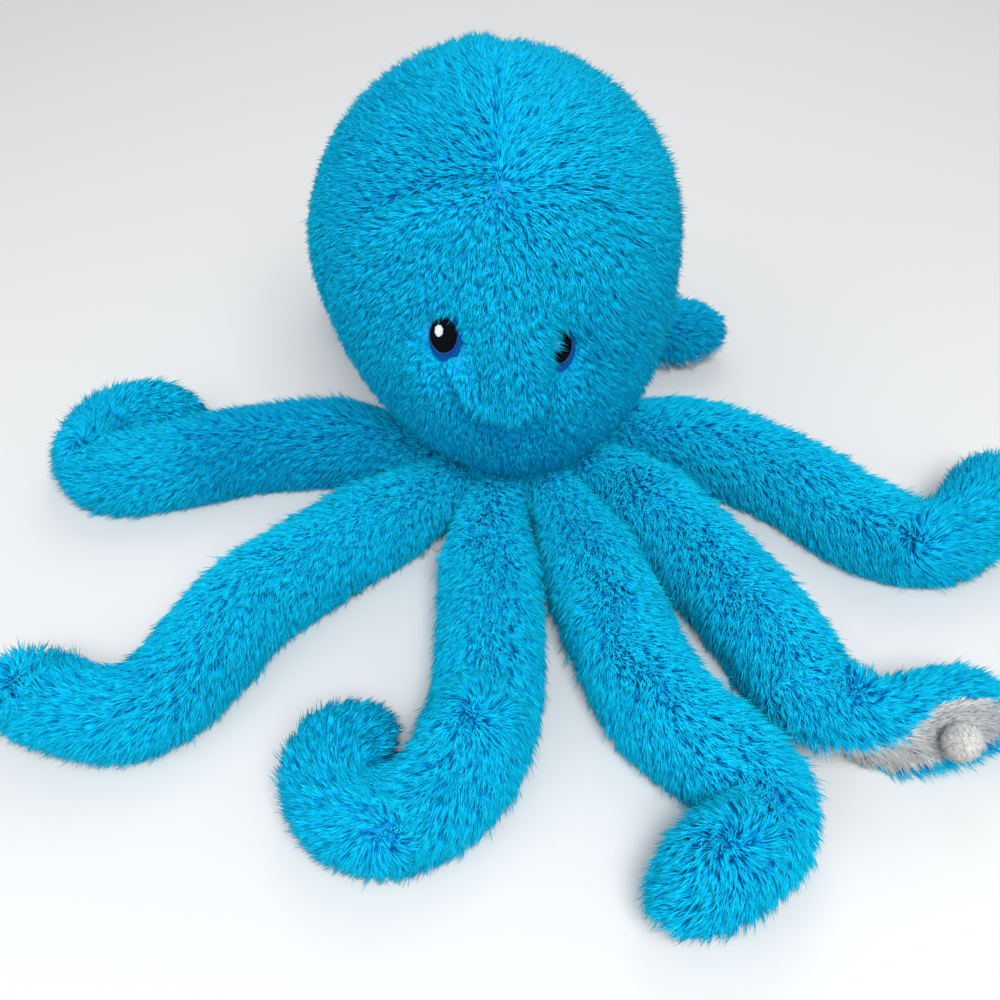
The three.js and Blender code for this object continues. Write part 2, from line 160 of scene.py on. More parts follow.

# Each arm's direction at its root, how far it has turned from there at shares of its length, and by how
# much it rolls over. Then where its fur makes whorls, as shares along and across, how curly it is, where
# it is painted darker as painted shade, where a crease crosses it, and where a pale fringe shows from
# below, with its side
ARMS = (
    {
        "name": "arm_left", "root": 179, "curl": 0.4, "whorls": ((0.72, 0.5),), "shaded": (0.08, 0.5),
        "turns": (
            (0, 0), (0.15, -2), (0.36, 13), (0.54, 20), (0.6, 13), (0.64, 3), (0.84, -150), (0.9, -176),
            (1, -178),
        ),
    },
    {
        "name": "arm_front_left", "root": 219, "curl": 0.15, "whorls": ((0.94, 0.5),),
        "turns": (
            (0, 0), (0.2, 2), (0.43, 7), (0.55, 23), (0.66, 25), (0.74, -6), (0.82, -46), (0.9, -58),
            (1, -58),
        ),
        "fringe": (0.06, 0.3, 0),
    },
    {
        "name": "arm_front", "root": 256.5, "curl": 0.1, "whorls": ((0.54, 0.5), (0.76, 0.3)),
        "crease": 0.14,
        "turns": (
            (0, 0), (0.1, 14), (0.28, 14), (0.44, 10), (0.58, -8), (0.69, -41), (0.76, -67), (0.94, -216),
            (1, -228),
        ),
    },
    {
        "name": "arm_front_right", "root": 297, "curl": 0.55, "whorls": ((0.87, 0.5),),
        "turns": (
            (0, 0), (0.1, -12), (0.28, -13), (0.4, -13), (0.5, -3), (0.6, 21), (0.69, 15), (0.77, -37),
            (0.84, -80), (1, -80),
        ),
    },
    {
        "name": "arm_right_front", "root": 337, "curl": 0.5, "whorls": ((0.74, 0.62),),
        "turns": (
            (0, 0), (0.1, -37), (0.3, -35), (0.46, -41), (0.59, -50), (0.66, -46), (0.76, 10), (0.82, 40),
            (0.9, 36), (1, 10),
        ),
        "rolls": ((0, 0), (0.64, 0), (0.84, -115), (1, -115)),
    },
    {
        "name": "arm_right", "root": 376, "curl": 0.55, "whorls": ((0.69, 0.66),),
        "turns": (
            (0, 0), (0.08, -26), (0.24, -44), (0.38, -54), (0.5, -66), (0.61, -58), (0.71, -20),
            (0.81, 26), (0.9, 44), (1, 40),
        ),
    },
    {
        "name": "arm_back_right", "root": 413, "curl": 0.5, "whorls": ((0.62, 0.5),),
        "fringe": (0.74, 0.97, 1), "shaded": (0.3, 1.2),
        "turns": ((0, 0), (0.16, 54), (0.36, 62), (0.7, -138), (0.9, -56), (1, -44)),
    },
    {
        "name": "arm_back_left", "root": 473, "curl": 0.4, "whorls": ((0.7, 0.5),),
        "turns": ((0, 0), (0.15, 10), (0.35, 20), (0.5, 5), (0.62, -30), (0.85, -150), (1, -165)),
    },
)

# Fur: how many clumps each coat has, the strands in a clump, and their radii at the root and, where they
# bend, at the middle. Then their usual length and how the head's rises towards x and z, the angles of
# their lower and upper halves, how wide a clump is, how high the lowest lie over the floor, how deep they
# are rooted, the most triangles of a piece, and each coat's seed
HEAD_CLUMPS = 21000
HEAD_UNDERCOAT_CLUMPS = 12000
ARM_CLUMPS = 3900
ARM_UNDERCOAT_CLUMPS = 2600
UNDERSIDE_CLUMPS = 1700
DISC_CLUMPS = 900
SKIRT_CLUMPS = 2200
POMPOM_CLUMPS = 520
CLUMP_STRANDS = 6
HEAD_RADII = (0.32, 0.29)
ARM_RADII = (0.38, 0.34)
HEAD_UNDERCOAT_RADII = (0.5,)
ARM_UNDERCOAT_RADII = (0.55,)
PILE_RADII = (0.42,)
YARN_RADII = (0.3,)
HEAD_PILE = 8.4
HEAD_PILE_RISE = np.array([1.6, 0.0, 0.9])
ARM_PILE = 10.4
UNDERSIDE_PILE = 4.6
DISC_PILE = 4.5
SKIRT_PILE = 12.0
YARN_LENGTH = 2.5
LEAST_PILE = 2.5
NOSE_PILE = 9.0
FRINGE_PILE = 9.5
HEAD_LEAN = (36, 62)
SLEEK_LEAN = (58, 78)
ARM_LEAN = (48, 74)
UNDERCOAT_SHARE = 0.62
UNDERCOAT_SPREAD = 1.7
UNDERCOAT_PULL = 0.25
HEAD_SPREAD = 1.25
ARM_SPREAD = 1.5
DISC_SPREAD = 1.6
YARN_SPREAD = 0.75
STRAND_LOWEST = 0.8
STRAND_LOWEST_SPREAD = 0.8
ROOT_DEPTH = 0.8
MOST_TRIANGLES = 199000
HEAD_SEED = 21
EYE_SEED = 40
ARM_SEED = 100
ARM_NOISE_SEED = 60
UNDERSIDE_SEED = 200
UNDERSIDE_NOISE_SEED = 90
POMPOM_SEED = 300
DISC_SEED = 400
SKIRT_SEED = 410

# Light, as place, size and power of each lamp, and the photograph's camera, in metres and degrees
LAMPS = (
    ("key", (0.2, -0.95, 1.25), 0.7, 17.0),
    ("fill", (-1.0, -0.9, 1.0), 1.2, 5.0),
    ("back", (0.1, 1.1, 1.2), 0.9, 4.5),
)
SKY_STRENGTH = 0.46
CAMERA_PLACE = (-0.0090, -0.4432, 0.4017)
CAMERA_PITCH = 46
CAMERA_LENS = 38.16


# Numbers


def unit(vectors):
    return vectors / np.maximum(np.linalg.norm(vectors, axis=-1, keepdims=True), 1e-9)


def span(vectors):
    return np.linalg.norm(vectors, axis=-1)


def smooth(x, low, high):
    """From 0 at low to 1 at high, with soft ends."""
    t = np.clip((x - low) / (high - low), 0, 1)
    return t * t * (3 - 2 * t)


def bell(x, width):
    return np.exp(-((x / width) ** 2))


def lattice(i, j, k, seed):
    h = (i * 73856093) ^ (j * 19349663) ^ (k * 83492791) ^ (seed * 26544357)
    h = (h ^ (h >> 13)) * 1274126177
    h = h ^ (h >> 16)
    return (h & 0xFFFF) / 32767.5 - 1


def noise(places, size, seed):
    """Smooth noise from -1 to 1 at places, whose lumps are about size across."""
    q = np.asarray(places) / size
    base = np.floor(q).astype(np.int64)
    f = q - base
    f = f * f * (3 - 2 * f)
    total = np.zeros(q.shape[:-1])
    for i in (0, 1):
        for j in (0, 1):
            for k in (0, 1):
                near = np.abs(1 - i - f[..., 0]) * np.abs(1 - j - f[..., 1]) * np.abs(1 - k - f[..., 2])
                total += near * lattice(base[..., 0] + i, base[..., 1] + j, base[..., 2] + k, seed)
    return total


def turned(vectors, axes, angles):
    """Vectors that lie square to their axes, turned about them."""
    c, s = np.cos(angles)[..., None], np.sin(angles)[..., None]
    return vectors * c + np.cross(axes, vectors) * s


def grid(first, second):
    return np.meshgrid(first, second, indexing="ij")


def pairs(first, second):
    """Every pair of two lists of values, as two flat arrays."""
    return [x.ravel() for x in grid(first, second)]


# Meshes


def add_object(name, data):
    made = bpy.data.objects.new(name, data)
    bpy.context.scene.collection.objects.link(made)
    return made


def mesh_object(name, places, corners, starts, material, uv=None):
    """A mesh from its places, the corners of all faces one after another, and where each face starts."""
    mesh = bpy.data.meshes.new(name)
    mesh.vertices.add(len(places))
    mesh.vertices.foreach_set("co", (places * MM).astype(np.float32).ravel())
    mesh.loops.add(len(corners))
    mesh.loops.foreach_set("vertex_index", corners.astype(np.int32))
    mesh.polygons.add(len(starts))
    mesh.polygons.foreach_set("loop_start", starts.astype(np.int32))
    mesh.polygons.foreach_set("use_smooth", np.ones(len(starts), bool))
    if uv is not None:
        layer = mesh.uv_layers.new(name=FUR_MAP)
        layer.data.foreach_set("uv", uv[corners].astype(np.float32).ravel())
    mesh.update(calc_edges=True)
    mesh.validate()
    mesh.materials.append(material)
    return add_object(name, mesh)


def grid_quads(rows, columns, closed, first=0, flip=False):
    """The quads of a grid of points, whose columns may close on themselves."""
    i, j = grid(np.arange(rows - 1), np.arange(columns if closed else columns - 1))
    near, far = i * columns, (i + 1) * columns
    after = (j + 1) % columns
    quads = np.stack([near + j, near + after, far + after, far + j], -1).reshape(-1, 4) + first
    return quads[:, ::-1] if flip else quads


def shell(name, outer, inner, material):
    """A closed shell between two grids of points, outer on its outside. Rows run along, columns across."""
    rows, columns = outer.shape[:2]
    count = rows * columns
    index = np.arange(count).reshape(rows, columns)
    rim = np.concatenate([index[0, :-1], index[:-1, -1], index[-1, :0:-1], index[:0:-1, 0]])
    after = np.roll(rim, -1)
    sides = np.stack([rim, rim + count, after + count, after], -1)
    faces = (grid_quads(rows, columns, False), grid_quads(rows, columns, False, count, True), sides)
    quads = np.concatenate(faces)
    places = np.concatenate([outer.reshape(-1, 3), inner.reshape(-1, 3)])
    return set_outwards(mesh_object(name, places, quads.ravel(), np.arange(len(quads)) * 4, material))


def set_outwards(made):
    """Turns every face of a closed mesh outwards."""
    bm = bmesh.new()
    bm.from_mesh(made.data)
    bmesh.ops.remove_doubles(bm, verts=bm.verts, dist=1e-6)
    bmesh.ops.recalc_face_normals(bm, faces=bm.faces)
    bm.to_mesh(made.data)
    bm.free()
    made.data.polygons.foreach_set("use_smooth", np.ones(len(made.data.polygons), bool))
    return made


def tube(name, rings, material, ends):
    """A mesh through rings of points, closed over the first or the last ring, or over both."""
    rows, columns = rings.shape[:2]
    index = np.arange(rows * columns).reshape(rows, columns)
    quads = grid_quads(rows, columns, True)
    fans = []
    for k, end in enumerate(ends):
        ring, after = index[end], np.roll(index[end], -1)
        sides = (ring, after) if end else (after, ring)
        fans.append(np.stack([*sides, np.full(columns, index.size + k)], -1).ravel())
    places = np.concatenate([rings.reshape(-1, 3)] + [rings[end][None].mean(1) for end in ends])
    corners = np.concatenate([quads.ravel()] + fans)
    triangles = len(quads) * 4 + np.arange(len(ends) * columns) * 3
    starts = np.concatenate([np.arange(len(quads)) * 4, triangles])
    return mesh_object(name, places, corners, starts, material)


def capped(name, rings, material):
    """A closed body through rings of points."""
    return set_outwards(tube(name, rings, material, (0, -1)))


def dress(piece, body=None, node=None):
    """Hides the solid that a piece replaces, if any, and hangs the piece on the body that carries it, if
    any.
    """
    if node:
        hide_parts(node)
    if body:
        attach(piece, body)


# Fur


class Sheet:
    """A surface given by a function of two parameters, and the grid lines that it is measured on."""

    def __init__(self, point, first, second, outwards=1):
        self.point = point
        self.first = np.asarray(first, float)
        self.second = np.asarray(second, float)
        self.outwards = outwards

    def scatter(self, count, rng, weight=None):
        """Random places spread evenly over the surface, or as thick as weight says."""
        a, b = grid(self.first, self.second)
        p = self.point(a.ravel(), b.ravel()).reshape(a.shape + (3,))
        area = span(np.cross(p[1:, :-1] - p[:-1, :-1], p[:-1, 1:] - p[:-1, :-1]))
        if weight is not None:
            middle_a, middle_b = (a[1:, 1:] + a[:-1, :-1]) / 2, (b[1:, 1:] + b[:-1, :-1]) / 2
            area = area * weight(middle_a.ravel(), middle_b.ravel()).reshape(area.shape)
        heap = np.cumsum(area.ravel())
        drawn = (np.arange(count) + rng.random(count)) / count * heap[-1]
        i, j = np.divmod(np.searchsorted(heap, drawn).clip(0, area.size - 1), area.shape[1])
        across_i, across_j = rng.random(count), rng.random(count)
        return (
            self.first[i] + across_i * (self.first[i + 1] - self.first[i]),
            self.second[j] + across_j * (self.second[j + 1] - self.second[j]),
        )

    def inside(self, a, b):
        return a.clip(self.first[0], self.first[-1]), b.clip(self.second[0], self.second[-1])

    def frame_at(self, a, b):
        """The place, the outward normal and the surface's two slopes there."""
        slopes = []
        for step_a, step_b in ((np.ptp(self.first) / 900, 0), (0, np.ptp(self.second) / 900)):
            after = self.inside(a + step_a, b + step_b)
            before = self.inside(a - step_a, b - step_b)
            run = (after[0] - before[0]) + (after[1] - before[1])
            slopes.append((self.point(*after) - self.point(*before)) / np.maximum(run, 1e-9)[:, None])
        normal = unit(np.cross(slopes[0], slopes[1])) * self.outwards
        return self.point(a, b), normal, slopes[0], slopes[1]


def steady(value):
    """A length or shade that is the same all over."""
    return lambda a, b, place: np.full(len(place), value)


def leaning(lower, lower_spread, upper, upper_spread):
    """A lean that varies by chance alone."""

    def lean(a, b, place, rng):
        count = len(place)
        return lower + rng.normal(0, lower_spread, count), upper + rng.normal(0, upper_spread, count)

    return lean


def grow(sheet, clumps, spread, rng, rules, pull=0.5, weight=None, stray=0.12):
    """Strands of fur in clumps. Returns their roots, middles, tips and shades.

    The rules are flow, each clump's direction along the surface, its length, lean, its angles from the
    surface's normal in its lower and its upper half, and shade, how much lighter it is than the rest. pull
    says how far its strands draw together at the tip, and stray how far they sway.
    """
    flow, length, lean, shade = rules
    a, b = sheet.scatter(clumps, rng, weight)
    centre, normal, slope_a, slope_b = sheet.frame_at(a, b)
    along = flow(a, b, centre, normal, unit(slope_a), unit(slope_b), rng)
    along = unit(along - normal * (along * normal).sum(-1, keepdims=True))
    reach = (length(a, b, centre) * rng.uniform(0.86, 1.12, clumps))[:, None, None]
    lower, upper = (np.radians(x)[:, None] for x in lean(a, b, centre, rng))
    lower_way = (normal * np.cos(lower) + along * np.sin(lower))[:, None]
    upper_way = (normal * np.cos(upper) + along * np.sin(upper))[:, None]

    shape = (clumps, CLUMP_STRANDS)
    round_it = rng.uniform(0, 2 * math.pi, shape)
    out = spread * np.sqrt(rng.random(shape))
    size_a = np.maximum(span(slope_a), 0.05)[:, None]
    size_b = np.maximum(span(slope_b), 0.05)[:, None]
    root_a = (a[:, None] + out * np.cos(round_it) / size_a).ravel()
    root_b = (b[:, None] + out * np.sin(round_it) / size_b).ravel()
    roots = sheet.point(*sheet.inside(root_a, root_b)).reshape(shape + (3,))
    offset = roots - centre[:, None]
    longer = rng.uniform(0.72, 1.06, shape)[..., None]
    side = np.cross(normal, along)[:, None]
    sway = rng.normal(0, stray, shape)[..., None] * side
    sway = sway + rng.normal(0, stray, shape)[..., None] * normal[:, None]
    reach = reach * longer
    middles = centre[:, None] + offset * (1 - pull * 0.4) + reach * (0.5 * lower_way + 0.25 * sway)
    tips = centre[:, None] + offset * (1 - pull) + reach * (0.5 * lower_way + 0.5 * upper_way + sway)
    roots = roots - normal[:, None] * ROOT_DEPTH
    tone = 0.5 + shade(a, b, centre)[:, None]
    tone = tone + 0.15 * rng.standard_normal(clumps)[:, None] + 0.08 * rng.standard_normal(shape)
    return [x.reshape(-1, 3) for x in (roots, middles, tips)] + [tone.ravel()]


def strands_object(name, strands, radii, material, rng):
    """Tapered three-sided strands as one mesh, which bend in the middle where there are two radii.

    Its map holds each strand's shade across and its height up.
    """
    *stems, tone = strands
    count = len(tone)
    lowest = STRAND_LOWEST + STRAND_LOWEST_SPREAD * rng.random((count, 1))
    roots, middles, tips = (np.concatenate([x[:, :2], np.maximum(x[:, 2:], lowest)], -1) for x in stems)
    way = unit(tips - roots)
    side = unit(np.cross(way, rng.standard_normal((count, 3))))
    other = np.cross(way, side)
    rings = []
    for places, radius in zip((roots, middles), radii):
        for corner in range(3):
            angle = corner * 2 * math.pi / 3
            rings.append(places + radius * (math.cos(angle) * side + math.sin(angle) * other))
    places = np.stack(rings + [tips], 1)
    places[..., 2] = np.maximum(places[..., 2], 0.05)
    point = len(rings)
    edges = ((0, 1), (1, 2), (2, 0))
    faces = [[i, j, j + 3, i + 3] for i, j in edges] if point == 6 else []
    faces += [[point - 3 + i, point - 3 + j, point] for i, j in edges]
    faces.append([2, 1, 0])
    one = np.concatenate(faces)
    one_start = np.cumsum([0] + [len(face) for face in faces[:-1]])
    corners = (np.arange(count)[:, None] * (point + 1) + one).ravel()
    starts = (np.arange(count)[:, None] * len(one) + one_start).ravel()
    uv = np.empty((count, point + 1, 2))
    across = np.array([-1, 0, 1] * (point // 3) + [0])
    uv[..., 0] = np.clip(tone, 0.02, 0.98)[:, None] + across * 0.006
    uv[..., 1] = np.array([0.03] * 3 + [0.5] * (point - 3) + [0.97])
    return mesh_object(name, places.reshape(-1, 3), corners, starts, material, uv.reshape(-1, 2))


def undercoat(sheet, clumps, rng, rules, weight=None):
    """Short thick strands below the long ones, so that no backing shows between them."""
    flow, length, lean, shade = rules

    def short(a, b, place):
        return UNDERCOAT_SHARE * length(a, b, place)

    rules = (flow, short, lean, shade)
    return grow(sheet, clumps, UNDERCOAT_SPREAD, rng, rules, UNDERCOAT_PULL, weight)


def fur_pieces(name, strands, radii, material, rng, body=None):
    """Strands as one or more pieces of at most MOST_TRIANGLES triangles each, split by height."""
    count = len(strands[0])
    pieces = math.ceil(count * (6 * len(radii) - 2) / MOST_TRIANGLES)
    order = np.argsort(strands[0][:, 2], kind="stable")
    made = []
    for k in range(pieces):
        chosen = order[k * count // pieces : (k + 1) * count // pieces]
        label = name if pieces == 1 else f"{name}_{k + 1}"
        piece = strands_object(label, [x[chosen] for x in strands], radii, material, rng)
        dress(piece, body)
        made.append(piece)
    return made


# Materials


def feed(node, inputs):
    """Gives a node's inputs their values, or links them to other nodes' outputs."""
    for name, value in inputs.items():
        if isinstance(value, bpy.types.NodeSocket):
            node.id_data.links.new(value, node.inputs[name])
        else:
            node.inputs[name].default_value = value


def new_material(name, roughness, specular=0.3, sheen=0.0, tint=(1, 1, 1, 1)):
    made = bpy.data.materials.new(name)
    made.use_nodes = True
    shader = made.node_tree.nodes["Principled BSDF"]
    feed(shader, {"Roughness": roughness, "Specular IOR Level": specular})
    feed(shader, {"Sheen Weight": sheen, "Sheen Roughness": 0.5, "Sheen Tint": tint})
    return made, shader


def add_node(made, kind, inputs, **settings):
    node = made.node_tree.nodes.new("ShaderNode" + kind)
    for name, value in settings.items():
        setattr(node, name, value)
    feed(node, inputs)
    return node


def add_ramp(made, factor, stops):
    ramp = add_node(made, "ValToRGB", {"Fac": factor})
    elements = ramp.color_ramp.elements
    elements.new(0.5)
    for element, (place, colour) in zip(elements, stops):
        element.position = place
        element.color = (*colour, 1)
    return ramp.outputs["Color"]


def strand_material(name, dark, middle, light, low, tint=(1, 1, 1, 1)):
    """Fur that brightens from root to tip, the darker roots a painted shade deep in the pile, with a shade
    of its own for each strand, read from its map.
    """
    made, shader = new_material(name, 0.7, 0.05, 0.4, tint)
    uv = add_node(made, "UVMap", {}, uv_map=FUR_MAP)
    split = add_node(made, "SeparateXYZ", {"Vector": uv.outputs["UV"]}).outputs
    # Darker towards the root: painted shade deep in the pile.
    colour = add_ramp(made, split["Y"], ((0.0, dark), (0.45, middle), (1.0, light)))
    nearly = tuple(0.8 + 0.2 * x for x in low)
    shade = add_ramp(made, split["X"], ((0.0, low), (0.6, nearly), (1.0, (1.0, 1.0, 1.0))))
    inputs = {"Factor": 1.0, "A": colour, "B": shade}
    mix = add_node(made, "Mix", inputs, data_type="RGBA", blend_type="MULTIPLY")
    feed(shader, {"Base Color": mix.outputs["Result"]})
    return made


def two_shades(made, shader, first, second, shade, height, strength, distance):
    """Mixes two shades by one noise and gives the surface a fine bump by another."""
    inputs = {"A": (*first, 1), "B": (*second, 1), "Factor": shade.outputs["Fac"]}
    mix = add_node(made, "Mix", inputs, data_type="RGBA")
    inputs = {"Strength": strength, "Distance": distance, "Height": height.outputs["Fac"]}
    bump = add_node(made, "Bump", inputs)
    feed(shader, {"Base Color": mix.outputs["Result"], "Normal": bump.outputs["Normal"]})


def cloth_material(name, first, second, scale, roughness=0.9, bump=0.3, sheen=0.2, distance=0.0006):
    """Knitted or felted cloth, with noise at two scales."""
    made, shader = new_material(name, roughness, 0.2, sheen)
    where = add_node(made, "TexCoord", {}).outputs["Object"]
    coarse = add_node(made, "TexNoise", {"Scale": scale, "Detail": 6, "Vector": where})
    fine = add_node(made, "TexNoise", {"Scale": scale * 9, "Detail": 3, "Vector": where})
    two_shades(made, shader, first, second, coarse, fine, bump, distance)
    return made


def thread_material(name, first, second, roughness=0.35, specular=0.5):
    """Embroidery thread: a shine along twisted fibres."""
    made, shader = new_material(name, roughness, specular)
    where = add_node(made, "TexCoord", {}).outputs["Object"]
    stretch = add_node(made, "Mapping", {"Scale": (900, 2600, 2600), "Vector": where}).outputs["Vector"]
    grain = add_node(made, "TexNoise", {"Scale": 1.0, "Detail": 2, "Vector": stretch})
    two_shades(made, shader, first, second, grain, grain, 0.35, 0.0001)
    return made


# The lowest of each strand's shade multipliers; that shade holds random tone and the painted light and
# shade of the fur rules.
BLUE_LOW = (0.5, 0.58, 0.74)
GREY_LOW = (0.55, 0.56, 0.58)
AZURE = (0.0, 0.6, 1.0, 1)
head_fur = strand_material(
    "head_fur_strands", (0.0, 0.37, 0.80), (0.001, 0.61, 0.99), (0.008, 0.86, 1.0), BLUE_LOW, AZURE
)
arm_fur = strand_material(
    "arm_fur_strands", (0.0, 0.38, 0.88), (0.001, 0.62, 1.0), (0.008, 0.87, 1.0), BLUE_LOW, AZURE
)
pale_fur = strand_material(
    "underside_strands", (0.60, 0.60, 0.60), (0.83, 0.84, 0.84), (0.94, 0.95, 0.94), GREY_LOW
)
white_yarn = strand_material(
    "pompom_strands", (0.74, 0.73, 0.69), (0.90, 0.89, 0.86), (0.95, 0.94, 0.92), GREY_LOW
)
# Both backings take the fur's dark root colour, painted shade deep in the pile; the arms' is darker still,
# painted shade between the strands.
head_backing = cloth_material("head_backing", (0.002, 0.38, 0.74), (0.003, 0.46, 0.82), 90)
arm_backing = cloth_material("arm_backing", (0.001, 0.30, 0.62), (0.002, 0.37, 0.70), 90)
pale_backing = cloth_material("underside_backing", (0.42, 0.44, 0.46), (0.58, 0.60, 0.62), 120)
yarn_core = cloth_material("pompom_core", (0.55, 0.53, 0.48), (0.75, 0.73, 0.68), 260)
fibre = cloth_material("fibre_fill", (0.78, 0.78, 0.76), (0.90, 0.90, 0.88), 160, 1.0, 0.5, 0.3, 0.002)
iris_thread = thread_material("iris_thread", (0.0, 0.055, 0.26), (0.001, 0.10, 0.38), 0.6, 0.05)
pupil_thread = thread_material("pupil_thread", (0.001, 0.001, 0.002), (0.002, 0.003, 0.005), 0.6, 0.05)
highlight_thread = thread_material("highlight_thread", (0.62, 0.65, 0.70), (0.80, 0.83, 0.87))
edge_thread = thread_material("edge_thread", (0.01, 0.05, 0.18), (0.03, 0.09, 0.27), 0.5, 0.2)


# Head


def direction(azimuth, elevation):
    a, e = np.radians(azimuth), np.radians(elevation)
    return np.stack([np.cos(e) * np.cos(a), np.cos(e) * np.sin(a), np.sin(e) + 0 * a], -1)


def head_plain(azimuth, elevation, lift=0.0):
    """The head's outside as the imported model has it."""
    away = direction(azimuth, elevation)
    below = np.maximum(-elevation, 0) / RIM_ANGLE
    angle = np.arccos(np.clip(away @ direction(*MUZZLE_PLACE), -1, 1))
    muzzle = MUZZLE_RISE * bell(angle, math.radians(MUZZLE_SPREAD))
    reach = HEAD_RADIUS + HEAD_DROP * below**HEAD_TAPER_POWER + muzzle + lift
    point = away * reach[..., None] + HEAD_CENTRE
    sunk = (HEAD_CENTRE[2] - point[..., 2]) / (HEAD_CENTRE[2] - NECK_HEIGHT)
    point[..., :2] -= HEAD_CENTRE[:2] * (np.clip(sunk, 0, 1) ** LEAN_FADE_POWER)[..., None]
    return point


def one_place(azimuth, elevation, lift=0.0):
    return head_plain(np.array([azimuth]), np.array([elevation]), lift)[0]


CROWN = one_place(*CROWN_SEAM)


def seam_normal(side):
    """The normal of a seam's plane, which points to the back of the head."""
    first, second = (one_place(*place) for place in side)
    normal = unit(np.cross(first - CROWN, second - CROWN))
    return normal if normal[1] > 0 else -normal


SEAM_NORMALS = (seam_normal(LEFT_SEAM), seam_normal(RIGHT_SEAM))


def seam_distances(point):
    """How far places lie to the right of the crown seam, and behind the seam of their own side."""
    aside = point[..., 0] - CROWN[0]
    behind = [(point - CROWN) @ normal for normal in SEAM_NORMALS]
    return aside, np.where(aside < 0, *behind)


EYES = tuple(
    (FRONT + FACE_TURN + side * EYE_OFFSET_ANGLE, EYE_ELEVATION - side * FACE_SLANT) for side in (-1, 1)
)


def eye_distance(azimuth, elevation, eye):
    """The distance to an eye in half sizes of its iris, and the way from it as right and up."""
    right = np.radians(azimuth - eye[0]) * np.cos(np.radians(elevation)) * HEAD_RADIUS
    up = np.radians(elevation - eye[1]) * HEAD_RADIUS
    return np.hypot(right / (IRIS_SIZE[0] / 2), up / (IRIS_SIZE[1] / 2)), right, up


def fading(near, width):
    """1 on an eye and less around it, from the distance to it."""
    return np.exp(-np.maximum(near - 1, 0) / width)


def mouth_height(azimuth, elevation):
    """How far places lie above the mouth's fold in millimetres, and how much of the fold is there."""
    fold = np.interp(azimuth, MOUTH_AZIMUTHS, MOUTH_ELEVATIONS)
    height = np.radians(elevation - fold) * (HEAD_RADIUS + HEAD_DROP / 2)
    part = 1 - smooth(np.abs(azimuth - MOUTH_MIDDLE), MOUTH_HALF_WIDTH - 4, MOUTH_HALF_WIDTH + 5)
    return height, part


def spot(azimuth, elevation, middle, width, height, across=1.4):
    """1 in the middle of a spot and less around it. Its half sizes are in millimetres."""
    return bell((azimuth - middle[0]) * across, width) * bell((elevation - middle[1]) * 1.5, height)


def head_relief(azimuth, elevation):
    """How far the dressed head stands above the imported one, for azimuths from -270 to 90."""
    point = head_plain(azimuth, elevation)
    aside, behind = seam_distances(point)
    from_crown = span(point - CROWN)
    on_panels = smooth(behind, -2, 2)
    left_of = smooth(-aside, -1, 1)
    seam_sink = SEAM_SINK + LEFT_SEAM_SINK * left_of * bell(from_crown - 30, 30)
    relief = -seam_sink * bell(behind - 1, 4.0)
    relief -= CROWN_SEAM_SINK * bell(aside, 2.6) * on_panels
    relief -= LEFT_DIP_SINK * left_of * bell(behind - 15, 13) * bell(from_crown - 38, 34)
    relief += LEFT_RIDGE_RISE * left_of * bell(behind + 6, 5) * bell(from_crown - 26, 28)
    relief += CROWN_SWELL * left_of * on_panels * bell(aside, 22) * smooth(elevation, 50, 75)
    height, part = mouth_height(azimuth, elevation)
    far = np.abs(height)
    lip = np.where(height > 0, LIP_RISE * np.exp(-far / 11), -CHIN_SINK * np.exp(-far / 16))
    relief += lip * part * smooth(far, 0, 1.2)
    where = (azimuth, elevation)
    crease, notch = spot(*where, CREASE, 3.2, 10.0), spot(*where, NOTCH, 5.0, 6.0)
    bridge, by_eye = spot(*where, BRIDGE, 8.0, 20.0, 1.45), spot(*where, BY_RIGHT_EYE, 5.0, 14.0, 1.45)
    relief -= CREASE_SINK * crease + NOTCH_SINK * notch
    relief += BRIDGE_RISE * bridge + BY_RIGHT_EYE_RISE * by_eye
    for k, eye in enumerate(EYES):
        near, right, _ = eye_distance(azimuth, elevation, eye)
        inner = (k == 1) * smooth(-right, 1.5, 4.5)
        relief -= (EYE_SINK + relief * 0.8) * bell(near, 1.45) * (1 - 0.9 * inner)
    return relief


def head_point(azimuth, elevation):
    return head_plain(azimuth, elevation, head_relief(azimuth, elevation))


def cut(bm, place, normal):
    """Keeps what lies on the side that the normal points to."""
    parts = bm.verts[:] + bm.edges[:] + bm.faces[:]
    plane = {"plane_co": Vector(place * MM), "plane_no": Vector(normal)}
    bmesh.ops.bisect_plane(bm, geom=parts, clear_inner=True, dist=1e-7, **plane)


